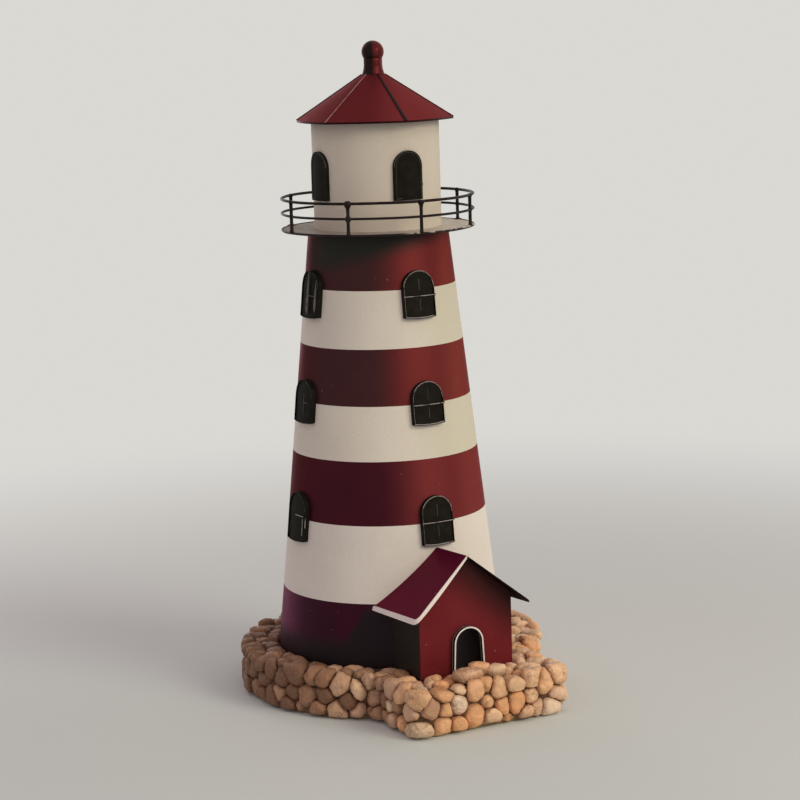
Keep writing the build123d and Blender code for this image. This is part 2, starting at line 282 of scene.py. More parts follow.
def pick(kind, test):
    """In edit mode, selects the verts, edges or faces that pass the test, and nothing else."""
    mesh = bpy.context.active_object.data
    shape = bmesh.from_edit_mesh(mesh)
    bpy.ops.mesh.select_mode(type={"verts": "VERT", "edges": "EDGE", "faces": "FACE"}[kind])
    bpy.ops.mesh.select_all(action="DESELECT")
    shape.normal_update()
    for element in getattr(shape, kind):
        if test(element):
            element.select_set(True)
    shape.select_flush_mode()
    bmesh.update_edit_mesh(mesh)


# %% Shaping
def lift(height):
    bpy.ops.transform.translate(value=(0, 0, height))


def extrude(y=0.0, z=0.0):
    bpy.ops.mesh.extrude_region_move(TRANSFORM_OT_translate={"value": (0, y, z)})


def face_outwards():
    bpy.ops.mesh.normals_make_consistent(inside=False)


def merge(piece):
    """Joins the loose triangles of a copied solid along their edges."""
    with editing(piece):
        bpy.ops.mesh.remove_doubles(threshold=NEARLY)
        face_outwards()


def smooth(piece, degrees=35):
    select_only(piece)
    bpy.ops.object.shade_smooth_by_angle(angle=math.radians(degrees))


def reshape(piece, rule):
    """Moves every point of the mesh to where the rule sends it."""
    for point in piece.data.vertices:
        point.co = rule(point.co)


def copy_of(piece, turn=0.0):
    """A copy with its own mesh, turned about the tower's axis by an angle in degrees."""
    twin = piece.copy()
    twin.data = piece.data.copy()
    bpy.context.scene.collection.objects.link(twin)
    twin.data.transform(turned(math.radians(turn)))
    return twin


def join(pieces, name):
    select_only(pieces[0])
    for piece in pieces:
        piece.select_set(True)
    bpy.ops.object.join()
    whole = bpy.context.active_object
    whole.name = whole.data.name = name
    return whole


def lathe(name, profile, segments, centre=(0, 0)):
    """A turned piece: rings of (radius, height) stacked upwards from a circle, closed at both ends."""
    radius, height = profile[0]
    piece = added(
        name, "circle", vertices=segments, radius=radius, fill_type="NGON", location=(*centre, height)
    )
    with editing(piece):
        for next_radius, next_height in profile[1:]:
            extrude(z=next_height - height)
            share = next_radius / radius
            bpy.ops.transform.resize(value=(share, share, 1), center_override=(*centre, next_height))
            radius, height = next_radius, next_height
        pick_all()
        face_outwards()
    return piece


def hand_over(piece, slot, *replaced):
    """Attaches the finished piece to the root body and hides the solids it stands for. The slot, its finish,
    is not used.
    """
    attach(piece, "root")
    if replaced:
        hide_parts(*replaced)
    print(piece.name, "faces:", len(piece.data.polygons))


# %% [markdown]
# ## Floor and light
# A plain pale floor that fades into an equally pale surround, and soft studio light. The key is a large warm
# panel on the viewer's right, so that the round tower shades off to the left. A second panel behind on the
# right brightens that edge, a narrow one behind on the left draws a thin line of light down the dark side,
# and the even sky fills the rest.

# %% Floor and surround
FLOOR_SIZE = 400.0
FLOOR_DROP = 0.2 * MM
FLOOR_COLOUR = (0.66, 0.73, 0.73)
FLOOR_FADE = (0.25, 1.1)
SURROUND = (0.70, 0.69, 0.655)
SKY = (0.55, 0.463, 0.455)


def seen_directly(tree):
    """1 where the camera, a mirror or glass looks at the surface, and 0 where it only lights things."""
    path = node(tree, "LightPath").outputs
    direct = math_node(tree, "MAXIMUM", path["Is Camera Ray"], path["Is Glossy Ray"])
    return math_node(tree, "MAXIMUM", direct, path["Is Transmission Ray"])


def floor_material():
    material, tree = new_material("floor_paint")
    finish_paint(material, FLOOR_COLOUR, 0.9, shine=0.1)
    length = node(tree, "VectorMath", {"operation": "LENGTH"}, Vector=coordinates(tree))
    amount = times(tree, fade(tree, length.outputs["Value"], *FLOOR_FADE), seen_directly(tree))
    glow = node(tree, "Emission", Color=SURROUND, Strength=1.0)
    both = node(tree, "MixShader", Fac=amount)
    tree.links.new(tree.nodes["Principled BSDF"].outputs["BSDF"], both.inputs[1])
    tree.links.new(glow.outputs["Emission"], both.inputs[2])
    tree.links.new(both.outputs["Shader"], tree.nodes["Material Output"].inputs["Surface"])
    return material


floor = added("floor", "plane", size=FLOOR_SIZE, location=(0, 0, -FLOOR_DROP))
floor.data.materials.append(floor_material())

world = bpy.data.worlds.new("studio")
bpy.context.scene.world = world
world.use_nodes = True
sky_tree = world.node_tree
sky_colour = mix(sky_tree, seen_directly(sky_tree), SKY, SURROUND)
put(sky_tree, sky_tree.nodes["Background"].inputs["Color"], sky_colour)
bpy.context.scene.view_settings.view_transform = "Standard"
print("floor", FLOOR_SIZE, "m across")


# %% Lamps
def panel(name, side, rise, distance, size, power, colour, spread=180):
    """A soft rectangular lamp aimed at the ornament's foot; side is counted from the camera."""
    turn, rise = math.radians(side) - VIEW_TURN, math.radians(rise)
    place = round_about(turn, math.cos(rise) * distance, math.sin(rise) * distance)
    lamp = bpy.data.lights.new(name, "AREA")
    lamp.shape = "RECTANGLE"
    lamp.size, lamp.size_y = size
    lamp.spread = math.radians(spread)
    lamp.energy = power
    lamp.color = colour
    stand(name, lamp, place, place.to_track_quat("Z", "Y").to_matrix().to_4x4())


panel("key_panel", side=53, rise=29, distance=1.8, size=(0.9, 0.9), power=1.52,
      colour=(1.0, 0.93, 0.69), spread=52)
panel("side_panel", side=116, rise=8, distance=1.8, size=(0.7, 0.8), power=0.185,
      colour=(1.0, 0.93, 0.72), spread=35)
panel("edge_panel", side=-156, rise=14, distance=1.6, size=(0.35, 1.3), power=3.0,
      colour=(1.0, 0.76, 0.86))
print("lamps:", [lamp.name for lamp in bpy.data.lights])

# %% [markdown]
# ## Painted shade and light
# Shade is painted dark under the deck, the verge and the eave, and along the foot. The side towards the key
# lamp is painted lighter, as lit, and the shadow under the deck reaches further down on the other side. The
# masks below say where.

# %% Masks
# Each pair says where a mask is 0 and where it has grown to 1.
# The direction of the key lamp: painted light and shade follow how far a point lies or faces that way.
KEY_LIGHT_WAY = (0.887, -0.462, 0.0)
SHADOW_SLANT = 0.27
BELOW_DECK = (24 * MM, 7 * MM)
ABOVE_BANK = (20 * MM, 6 * MM)
NEAR_COTTAGE = (-50 * MM, -64 * MM)
COTTAGE_SHADE_RISE = 26 * MM
GABLE_SLOPE = 0.83
BELOW_VERGE = (45 * MM, 5 * MM)
ROOM_HALF = (37 * MM, 36 * MM)
ROOM_BACK = (0.0, -10 * MM)
BELOW_EAVE = (20 * MM, 2 * MM)


def towards_key_light(tree, kind="Object"):
    """How far a point lies from the tower's axis towards the key lamp's side, or how much it faces it."""
    along = node(tree, "VectorMath", {"operation": "DOT_PRODUCT"}, Vector=coordinates(tree, kind))
    along.inputs[1].default_value = KEY_LIGHT_WAY
    return along.outputs["Value"]


def under_deck(tree):
    """Painted shadow below the deck, reaching further down on the side away from the key lamp."""
    top = high("tower_high_red").z
    height = minus(tree, place_of(tree)["Z"], times(tree, towards_key_light(tree), SHADOW_SLANT))
    return fade(tree, minus(tree, top, height), *BELOW_DECK)


def by_the_bank(tree):
    """Painted shade, dark along the foot of the tower, and higher up towards the cottage."""
    place = place_of(tree)
    rise = times(tree, fade(tree, place["Y"], *NEAR_COTTAGE), COTTAGE_SHADE_RISE)
    height = minus(tree, minus(tree, place["Z"], rise), bank_top)
    return fade(tree, height, *ABOVE_BANK)


def under_verge(tree):
    """Painted shadow, dark on the gable below the right slope of the cottage's roof."""
    place = place_of(tree)
    fallen = math_node(tree, "MULTIPLY_ADD", place["X"], GABLE_SLOPE, place["Z"])
    below = minus(tree, high("cottage_front_wall").z, fallen)
    return times(tree, fade(tree, below, *BELOW_VERGE), 0.84)


def inside_the_cottage(tree):
    """1 on the tower's skin behind the doorway, which is left in bare grey primer."""
    place = place_of(tree)
    within = fade(tree, math_node(tree, "ABSOLUTE", place["X"]), *ROOM_HALF)
    return times(tree, within, fade(tree, place["Y"], *ROOM_BACK))


# Painted shade on the faces of a roof sheet that don't face up: its edges and its underside.
def not_on_top(tree):
    return fade(tree, way_of(tree)["Z"], 0.5, 0.2)


def under_eave(tree):
    """Painted shade, a veil of dark on the lantern room just below the roof."""
    below = minus(tree, high("lantern_room").z, place_of(tree)["Z"])
    return times(tree, fade(tree, below, *BELOW_EAVE), 0.38)


def tinted_by_side(tree, colour, stages):
    """Changes a colour by how far a point lies towards the key lamp's side, as painted light, shade and
    reflection, in stages of (colour, start, end).
    """
    for side_tint, start, end in stages:
        colour = mix(tree, fade(tree, towards_key_light(tree), start, end), colour, side_tint)
    return colour


# %% [markdown]
# ## Red paint
# The bands, the roofs and the cottage wear a deep wine-red enamel. It is dark where nothing bright faces it
# and glows red towards the lamps, so part of it is treated as metal: the highlight then takes the paint's own
# colour. The bands and the lantern roof are also painted brighter towards the key lamp, as painted light. A
# few pale specks of dust lie on it, and shade is painted dark in its sheltered corners.

# %% Red finishes
# Blacks for painted shade; the first is also the black paint of the doorway's collar.
SHADE_AND_BLACK_PAINT = (0.012, 0.0105, 0.0095)
DECK_SHADOW = (0.028, 0.029, 0.025)
FOOT_SHADE = (0.0115, 0.0125, 0.0115)
PRIMER = (0.46, 0.47, 0.47)
RED_DUST = (0.26, 0.13, 0.13)
DULL_RED_TINT = (0.62, 0.30, 0.32)
PLUM_TINT = (0.95, 0.32, 0.60)
# Painted reflection: a plum sheen on the far left edge of the foot.
PAINTED_PLUM_SHEEN = [((0.105, 0.013, 0.05), -62 * MM, -80 * MM)]
# Painted light: the reds grow brighter towards the key lamp's side.
BRIGHTER = [((0.145, 0.0235, 0.0235), -9 * MM, 20 * MM), ((0.200, 0.042, 0.034), 36 * MM, 60 * MM)]
BRIGHTER_LOW = [((0.160, 0.026, 0.0275), -6 * MM, 32 * MM), ((0.215, 0.045, 0.042), 44 * MM, 72 * MM)]
BRIGHTER_ROOF = [((0.215, 0.033, 0.035), -8 * MM, 24 * MM)]


def red_enamel(name, deep, light, roughness, metal, shade_mask=None, primer=None, gloss=(0.14, DULL_RED_TINT),
               stages=(), shade_colour=SHADE_AND_BLACK_PAINT):
    material, tree = new_material(name)
    cloudy = speckle(tree, 30.0, 0.35, 0.65, 3.0)
    colour = tinted_by_side(tree, mix(tree, cloudy, deep, light), stages)
    colour = mix(tree, speckle(tree, 520.0, 0.868, 0.882, 0.0), colour, RED_DUST)
    # Painted shade where the mask says.
    if shade_mask:
        colour = mix(tree, shade_mask(tree), colour, shade_colour)
    if primer:
        colour = mix(tree, primer(tree), colour, PRIMER)
    rough = node(tree, "MapRange", Value=cloudy, To_Min=roughness - 0.04, To_Max=roughness + 0.05)
    ripple = speckle(tree, 260.0, 0.3, 0.7)
    return finish_paint(material, colour, rough.outputs["Result"], (ripple, 0.05, 0.3 * MM), gloss[0],
                        Metallic=metal, Specular_Tint=gloss[1])


band_red = red_enamel("band_red", (0.052, 0.0190, 0.0215), (0.064, 0.0235, 0.026), 0.48, 0.72,
                      stages=BRIGHTER)
low_red = red_enamel("low_red", (0.054, 0.0098, 0.017), (0.066, 0.012, 0.020), 0.48, 0.72,
                     stages=BRIGHTER_LOW)
# The top band carries the painted shadow of the deck, in its own near-black.
deck_red = red_enamel("deck_red", (0.050, 0.0190, 0.0205), (0.062, 0.0235, 0.025), 0.48, 0.72,
                      under_deck, stages=BRIGHTER, shade_colour=DECK_SHADOW)
# Painted shade darkens the foot along the bank and towards the cottage.
foot_red = red_enamel("foot_red", (0.027, 0.005, 0.011), (0.036, 0.006, 0.013), 0.40, 0.45,
                      by_the_bank, inside_the_cottage, (0.30, PLUM_TINT), PAINTED_PLUM_SHEEN, FOOT_SHADE)
roof_red = red_enamel("roof_red", (0.128, 0.0155, 0.020), (0.146, 0.019, 0.023), 0.46, 0.62,
                      stages=BRIGHTER_ROOF)
# The gable carries painted shadow under the right verge.
cottage_red = red_enamel("cottage_red", (0.162, 0.0185, 0.024), (0.182, 0.0225, 0.027), 0.42, 0.30,
                         under_verge)
# The roof sheets carry painted shade on their edges and undersides.
slope_red = red_enamel("slope_red", (0.112, 0.0065, 0.028), (0.134, 0.009, 0.034), 0.42, 0.35,
                       not_on_top, gloss=(0.06, DULL_RED_TINT))
# Painted shade: the cottage's left wall is a near-black copy of its red.
shaded_side_red = red_enamel("shaded_side_red", (0.022, 0.0185, 0.0165), (0.028, 0.022, 0.020), 0.5, 0.05)
hem_red = red_enamel("hem_red", (0.016, 0.004, 0.005), (0.03, 0.005, 0.007), 0.36, 0.2)
print_finishes("red")

# %% [markdown]
# ## White paint
# The white bands are matt, slightly warm, and carry a fine sandy grain, as paint over primed metal does. The
# upper bands are painted a darker, yellower white towards the key lamp's side, as painted light and shade.

# %% White finishes
WHITE_GRIME = (0.52, 0.46, 0.40)
EAVE_SHADE = (0.30, 0.25, 0.22)
# Painted light and shade: a darker, yellower white towards the key lamp's side.
LIT_SIDE_TINT = [((0.657, 0.638, 0.527), 18 * MM, 48 * MM)]


def chalky_white(name, light, dull, grain=0.35, shade_mask=None, stages=()):
    material, tree = new_material(name)
    colour = mix(tree, speckle(tree, 22.0, 0.3, 0.7, 4.0), light, dull)
    colour = tinted_by_side(tree, colour, stages)
    fine = speckle(tree, 1500.0, 0.3, 0.75, 2.0)
    colour = mix(tree, times(tree, fine, 0.10), colour, WHITE_GRIME)
    # Painted shade where the mask says.
    if shade_mask:
        colour = mix(tree, shade_mask(tree), colour, EAVE_SHADE)
    return finish_paint(material, colour, 0.72, (fine, grain, 0.5 * MM), 0.2)


band_white = chalky_white("band_white", (0.80, 0.765, 0.685), (0.74, 0.70, 0.625), stages=LIT_SIDE_TINT)
low_white = chalky_white("low_white", (0.81, 0.78, 0.73), (0.75, 0.715, 0.67))
# The lantern's white carries painted shade under the roof's eave.
lantern_white = chalky_white("lantern_white", (0.745, 0.695, 0.60), (0.69, 0.64, 0.55), shade_mask=under_eave)
trim_white = chalky_white("trim_white", (0.90, 0.83, 0.80), (0.82, 0.74, 0.71), 0.15)
print_finishes("white")

# %% [markdown]
# ## Black, worn and plain finishes
# Window frames and wire are black with a brown cast. Along the exposed edges the black has worn through to
# pale metal, in patches rather than as an even line, and the same pale metal is painted on edges and bars as
# the highlight they catch. The sills' tops are painted grey as lit. The board under the bank is bare
# fibreboard.


# %% Black and worn finishes
def lacquer(name, dark, light, roughness, shine):
    return two_tones(name, dark, light, (160.0, 0.35, 0.7), roughness, (0.15, 0.4 * MM), shine)


def pale_metal_patches(name, dark, bright, scale, share):
    """Pale metal with black left on it in patches, for worn edges and for painted highlights; share is how
    much of it is pale.
    """
    pattern = (scale, 0.62 - 0.4 * share, 0.70 - 0.4 * share, 3.0)
    return two_tones(name, dark, bright, pattern, 0.45, (0.2, 0.3 * MM), 0.4)


shutter_black = lacquer("shutter_black", (0.010, 0.009, 0.007), (0.016, 0.014, 0.011), 0.5, 0.04)
wire_black = lacquer("wire_black", (0.010, 0.006, 0.006), (0.030, 0.019, 0.017), 0.40, 0.10)
# Pale edges: worn metal, and painted highlights of edges and bars.
worn_edge_and_glint = pale_metal_patches("worn_edge_and_glint", (0.10, 0.09, 0.085), (0.42, 0.39, 0.36), 150.0, 0.6)
faint_edge = pale_metal_patches("faint_edge", (0.016, 0.014, 0.012), (0.065, 0.060, 0.054), 170.0, 0.6)
# Painted light: grey for the lit top of a sill.
sill_lit_grey = pale_metal_patches("sill_lit_grey", (0.055, 0.046, 0.052), (0.13, 0.11, 0.125), 190.0, 0.6)
spindle_grey = pale_metal_patches("spindle_grey", (0.045, 0.042, 0.038), (0.12, 0.112, 0.103), 210.0, 0.65)
board_brown = two_tones("board_finish", (0.16, 0.105, 0.060), (0.27, 0.19, 0.115), (900.0, 0.3, 0.7, 6.0),
                        0.85, (0.4, 0.5 * MM), 0.2)
print_finishes("black")

# %% [markdown]
# ## Two paints on one piece
# The deck is grey above and black beneath, its top painted greyer to the left and creamier to the right as
# shade and light, and its rim wire is rubbed bare in dashes where hands reach over the cottage. Every second
# seam of the lantern roof is a thick black lap and the ones between are thin folds, pale on the left as wear
# and as a painted highlight, so the paint changes with the angle about the tower's axis. The doorway's collar
# is black, with white only on its front edge and on a thin line inside it, the line a painted highlight of an
# inner edge.

# %% Deck, rim, seams and collar
RUBBED_WIRE = (0.58, 0.50, 0.42)
LAP_SEAM_AT = math.radians(-95)
LINE_BEHIND_FRONT = (2.6 * MM, 3.1 * MM)
LINE_BLUR = 0.1 * MM


def rim_finish():
    material, tree = new_material("rim_finish")
    place = place_of(tree)
    pale_marks = speckle(tree, 120.0, 0.48, 0.54)
    facing_up = way_of(tree)["Z"]
    for value, start, end in (
        (place["X"], -18 * MM, -6 * MM), (place["Y"], -8 * MM, -18 * MM), (facing_up, 0.15, 0.35)
    ):
        pale_marks = times(tree, pale_marks, fade(tree, value, start, end))
    tone = speckle(tree, 160.0, 0.35, 0.7)
    black = mix(tree, tone, (0.010, 0.006, 0.006), (0.026, 0.017, 0.015))
    return finish_paint(material, mix(tree, pale_marks, black, RUBBED_WIRE), 0.45, (tone, 0.15, 0.4 * MM), 0.15)


def deck_finish():
    """Grey on top towards the left and cream towards the right, as painted shade and light, and black
    underneath: its own direction tells them apart.
    """
    material, tree = new_material("deck_finish")
    top = fade(tree, way_of(tree)["Z"], 0.3, 0.5)
    # Painted light and shade: greyer to the left, creamier to the right.
    side = fade(tree, place_of(tree)["X"], -50 * MM, 50 * MM)
    mottled = speckle(tree, 140.0, 0.3, 0.7, 5.0)
    grey = mix(tree, mottled, (0.25, 0.205, 0.18), (0.36, 0.31, 0.275))
    cream = mix(tree, mottled, (0.60, 0.55, 0.47), (0.72, 0.67, 0.58))
    colour = mix(tree, top, (0.010, 0.008, 0.008), mix(tree, side, grey, cream))
    return finish_paint(material, colour, 0.5, (mottled, 0.12, 0.4 * MM), 0.3)


def seam_finish():
    material, tree = new_material("seam_finish")
    place = place_of(tree)
    angle = minus(tree, math_node(tree, "ARCTAN2", place["Y"], place["X"]), LAP_SEAM_AT)
    folded = fade(tree, math_node(tree, "COSINE", times(tree, angle, 3.0)), 0.1, -0.1)
    # Pale folds on the left side only: wear, and a painted highlight of the folded edge.
    pale_on_left = times(tree, folded, fade(tree, place["X"], 0.0, -8 * MM))
    pale_marks = times(tree, pale_on_left, speckle(tree, 120.0, 0.3, 0.5, 3.0))
    dark = mix(tree, folded, (0.005, 0.004, 0.004), (0.055, 0.010, 0.011))
    colour = mix(tree, pale_marks, dark, (0.34, 0.18, 0.165))
    return finish_paint(material, colour, 0.4, (pale_marks, 0.1, 0.2 * MM), 0.1)


def collar_finish():
    material, tree = new_material("collar_finish")
    forward = fade(tree, way_of(tree)["Y"], -0.6, -0.8)
    depth = minus(tree, place_of(tree)["Y"], low("cottage_door_frame").y)
    # Painted highlight: a thin white line where the collar's inner edge catches light.
    start, end = LINE_BEHIND_FRONT
    line = times(tree, fade(tree, depth, start, start + LINE_BLUR), fade(tree, depth, end, end - LINE_BLUR))
    grain = speckle(tree, 400.0, 0.3, 0.7)
    white = mix(tree, grain, (0.92, 0.86, 0.84), (0.78, 0.70, 0.68))
    colour = mix(tree, math_node(tree, "MAXIMUM", forward, times(tree, line, 0.7)), SHADE_AND_BLACK_PAINT, white)
    return finish_paint(material, colour, 0.55, (grain, 0.1, 0.3 * MM), 0.15)


# %% Paint the frame
finish_of_slot = {
    "red_paint": band_red,
    "white_paint": band_white,
    "roof_red": roof_red,
    "dark_edge": hem_red,
    "black_paint": shutter_black,
    "black_wire": wire_black,
    "deck_paint": deck_finish(),
    "white_trim": trim_white,
    "pebbles": band_white,
    "board": board_brown,
}
own_finish = {
    "tower_foot_red": foot_red,
    "tower_low_white": low_white,
    "tower_low_red": low_red,
    "tower_high_red": deck_red,
    "lantern_room": lantern_white,
    "roof_seams": seam_finish(),
    "cottage_front_wall": cottage_red,
    "cottage_wall_left": shaded_side_red,
    "cottage_wall_right": cottage_red,
    "cottage_roof_left": slope_red,
    "cottage_roof_right": slope_red,
    "cottage_door_frame": collar_finish(),
}
for part in frame["record"]["subparts"]:
    paint = finish_of_slot[part["material_slot"]]
    nodes[part["node"]].data.materials[0] = own_finish.get(part["node"], paint)

# %% [markdown]
# ## Windows
# Each window is a black arched box on the tower's skin: a rim bright along part of its inner edge, as wear
# and as a painted highlight, a closed pane set back inside it, a glazing bar across, painted bright as its
# highlight, a faint seam up the middle and a sill that slopes out, its top painted grey as lit.
# On the left side of the tower the panes are plainer: one has two wrought spindles, one a bare seam with a
# short line across it, and one a hooked bar, so a small table says which lines each of them has. We model one
# window flat, from a strip of faces whose top edge is drawn up into an arch, then wrap it on the cone.

# %% Window sizes
WINDOW_BEARINGS = (1.0, 102.0, 180.0, 271.5)
WINDOW_HALF = 12.75 * MM
WINDOW_PROUD = 4.0 * MM
WINDOW_RIM = 0.65 * MM
PANE_SET_BACK = 1.0 * MM
PANE_Y = PANE_SET_BACK - WINDOW_PROUD
SILL_RISE = 0.35 * MM
SILL_DROP = 0.5 * MM
SILL_BOW = 0.9 * MM
BRIGHT_EDGE_WIDTH = 0.19 * MM
BAR_SHARE = 0.46
COLUMNS = 20


def middle(face):
    return face.calc_center_median()


def arched_slab(name, half, foot, top, depth):
    """A flat slab with an arched top, its back at y = 0 and its front at -depth, in columns of faces."""
    slab = added(name, "grid", x_subdivisions=COLUMNS, y_subdivisions=1, size=2, rotation=(math.pi / 2, 0, 0))

    def arch(point):
        x = -half * math.cos(math.pi * (point.x + 1) / 2)
        rise = math.sqrt(max(half * half - x * x, 0))
        return Vector((x, 0, top - half + rise if point.z > 0 else foot))

    reshape(slab, arch)
    with editing(slab):
        extrude(y=-depth)
        pick_all()
        face_outwards()
    return slab


def rim_edge(depth, centre_height, inner, where):
    """A test for the rim's front edges: the inner ones round the sunk pane, or the outer ones."""
    def is_it(edge):
        sides = [face for face in edge.link_faces if abs(face.normal.y) < 0.5]
        if max(abs(point.co.y + depth) for point in edge.verts) > NEARLY / 2 or len(sides) != 1:
            return False
        place = (edge.verts[0].co + edge.verts[1].co) / 2
        facing_out = sides[0].normal.x * place.x + sides[0].normal.z * (place.z - centre_height)
        return (facing_out < 0) == inner and where(place)

    return is_it


def brighten_rim_edges(piece, depth, centre_height, half, on_shaded_side=False):
    """Breaks the rim's edges and makes some of them bright, as wear and as painted highlights.

    The inner edge is bright over the arch and the outer one at its crown, where the bright edge is a painted
    highlight. A window on the shaded side is bright only on the right flank of its arch."""
    crown = centre_height + (2 if on_shaded_side else 0.86) * half
    if on_shaded_side:
        bright_part = lambda place: place.z > centre_height and place.x > 0.35 * half
    else:
        bright_part = lambda place: place.z > centre_height or place.x < -0.5 * half
    edges = [
        (False, lambda place: place.z < crown, 0),
        (False, lambda place: place.z >= crown, 1),
        (True, bright_part, 1),
    ]
    with editing(piece):
        for inner, where, material in edges:
            pick("edges", rim_edge(depth, centre_height, inner, where))
            bpy.ops.mesh.bevel(offset=BRIGHT_EDGE_WIDTH, segments=2, material=material)


def sink_pane(piece, rim, depth, set_back):
    with editing(piece):
        pick("faces", lambda face: face.normal.y < -0.9 and abs(middle(face).y + depth) < NEARLY)
        bpy.ops.mesh.inset(thickness=rim, depth=0)
        extrude(y=set_back)


def wrapped(point, radius, bow=0.0):
    """Where a point of a flat window goes when the window is bent round a wall of that radius."""
    radius -= point.y
    return Vector((point.x, -math.sqrt(radius ** 2 - point.x ** 2), point.z - bow))


def window_row(name, windows, replaced):
    """Copies the windows to their bearings and hands them over as one piece."""
    row = [copy_of(window, bearing) for window, bearing in zip(windows, WINDOW_BEARINGS)]
    for window in dict.fromkeys(windows):
        bpy.data.objects.remove(window)
    whole = join(row, name)
    smooth(whole)
    hand_over(whole, "black_paint", replaced)


# %% Bars, spindles and knobs
def small_bar(name, length, thickness, place, finish, upright=False):
    """A thin bar with rounded edges, lying across or standing up, its centre at the given place."""
    size = (thickness, thickness, length) if upright else (length, thickness, thickness)
    bar = added(name, "cube", size=1, location=place, scale=size)
    along = 2 if upright else 0
    with editing(bar):
        pick("edges", lambda edge: abs(edge.verts[0].co[along] - edge.verts[1].co[along]) > length / 2)
        bpy.ops.mesh.subdivide(number_cuts=7)
        pick("edges", lambda edge: len(edge.link_faces) == 2
             and edge.link_faces[0].normal.dot(edge.link_faces[1].normal) < 0.5)
        bpy.ops.mesh.bevel(offset=thickness * 0.3, segments=1)
    bar.data.materials.append(finish)
    return bar


def spindle(foot, top, waist, radius, x):
    """A wrought upright, turned: two long swellings with a narrow waist between them."""
    lower, upper = waist - foot, top - waist
    profile = [
        (0.15 * radius, foot), (0.8 * radius, foot + 0.2 * lower), (radius, foot + 0.5 * lower),
        (0.9 * radius, foot + 0.8 * lower), (0.5 * radius, waist), (0.75 * radius, waist + 0.15 * upper),
        (0.6 * radius, waist + 0.4 * upper), (0.12 * radius, top),
    ]
    made = lathe("spindle", profile, 8, centre=(x, -WINDOW_PROUD))
    made.data.materials.append(spindle_grey)
    return made


def small_ball(name, radius, place, stretch=1.0):
    ball = added(name, "uv_sphere", segments=10, ring_count=6, radius=radius, location=place,
                 scale=(1, 1, stretch))
    ball.data.materials.append(shutter_black)
    return ball


# %% What a pane carries
SEAM_SHARES = (0.25, 0.68)
PLAIN_LINES = {
    "crossed": [(0.10, 0.42, 0.52, True), (0.25, 0.46, 0.45, False)],
    "hooked": [(0.35, 0.52, 0.85, False), (0.74, 0.30, 0.36, True), (1.0, 0.40, 0.22, True)],
}


def plain_lines(kind, foot, height):
    """Thin lines on a plain pane, from shares of its half width and height: place x, place z and length."""
    proud, finish = (0.0, faint_edge) if kind == "crossed" else (0.3 * MM, worn_edge_and_glint)
    return [
        small_bar("line", share * (height if upright else WINDOW_HALF), 0.5 * MM,
                  (x_share * WINDOW_HALF, PANE_Y - proud, foot + z_share * height), finish, upright)
        for x_share, z_share, share, upright in PLAIN_LINES[kind]
    ]


def wrought_fittings(foot, top, bar_height):
    height = top - foot
    place = (0.35 * WINDOW_HALF, -WINDOW_PROUD, bar_height)
    return [
        small_bar("bar", 0.9 * WINDOW_HALF, 0.8 * MM, place, faint_edge),
        spindle(foot + 0.05 * height, top + 0.6 * MM, bar_height, 1.25 * MM, 0),
        spindle(foot + 0.12 * height, foot + 0.8 * height, bar_height, 0.95 * MM, 0.78 * WINDOW_HALF),
    ]


def glazed_fittings(foot, height, bar_height):
    """A lip on the sill, the glazing bar, and two lengths of faint seam."""
    lip = (0, PANE_Y - 0.2 * MM, foot + WINDOW_RIM + SILL_RISE)
    bar = (0.3 * MM, -WINDOW_PROUD, bar_height)
    seams = [(0, PANE_Y - 0.05 * MM, foot + share * height + 0.6 * MM) for share in SEAM_SHARES]
    # The lip and the bar are painted pale as their highlights.
    return [
        small_bar("lip", 2 * WINDOW_HALF - 1.6 * MM, 0.35 * MM, lip, worn_edge_and_glint),
        small_bar("bar", 2 * WINDOW_HALF + 0.6 * MM, 0.45 * MM, bar, worn_edge_and_glint),
    ] + [small_bar("seam", 0.25 * height, 0.4 * MM, seam, faint_edge, upright=True) for seam in seams]


def window_fittings(foot, top, kind):
    height = top - foot
    if kind in PLAIN_LINES:
        return plain_lines(kind, foot, height)
    bar_height = foot + BAR_SHARE * height
    knob = small_ball("knob", 0.8 * MM, (WINDOW_HALF + 0.6 * MM, 0.8 * MM - WINDOW_PROUD, bar_height))
    if kind == "wrought":
        return [knob] + wrought_fittings(foot, top, bar_height)
    return [knob] + glazed_fittings(foot, height, bar_height)


# %% Tower windows
def tower_window(level, kind="glazed"):
    """One window of a level, wrapped on the front of the tower."""
    foot, top = low(level + "_windows").z, high(level + "_windows").z
    whole = arched_slab(level + "_window", WINDOW_HALF, foot, top, WINDOW_PROUD)
    # The second finish is for bright rim edges, worn and painted as highlights; the third paints a glazed
    # sill's top grey as lit.
    for finish in (shutter_black, worn_edge_and_glint, sill_lit_grey if kind == "glazed" else shutter_black):
        whole.data.materials.append(finish)
    sink_pane(whole, WINDOW_RIM, WINDOW_PROUD, PANE_SET_BACK)
    sill_top = foot + 2 * WINDOW_RIM
    with editing(whole):
        pick("verts", lambda point: abs(point.co.y - PANE_Y) < NEARLY and point.co.z < sill_top)
        lift(SILL_RISE)
        pick("verts", lambda point: abs(point.co.y + WINDOW_PROUD) < NEARLY
             and foot + 5 * NEARLY < point.co.z < sill_top)
        lift(-SILL_DROP)
        # The sill's top faces take the grey of painted light.
        pick("faces", lambda face: face.normal.z > 0.3 and middle(face).z < foot + 2 * SILL_RISE)
        whole.active_material_index = 2
        bpy.ops.object.material_slot_assign()
    brighten_rim_edges(whole, WINDOW_PROUD, foot + WINDOW_HALF, WINDOW_HALF, on_shaded_side=kind != "glazed")

    def wrap(point):
        bow = SILL_BOW * (1 - (point.x / WINDOW_HALF) ** 2) if point.z < foot + 1.5 * MM else 0
        return wrapped(point, tower_radius(point.z), bow)

    window = join([whole] + window_fittings(foot, top, kind), level + "_window")
    reshape(window, wrap)
    return window


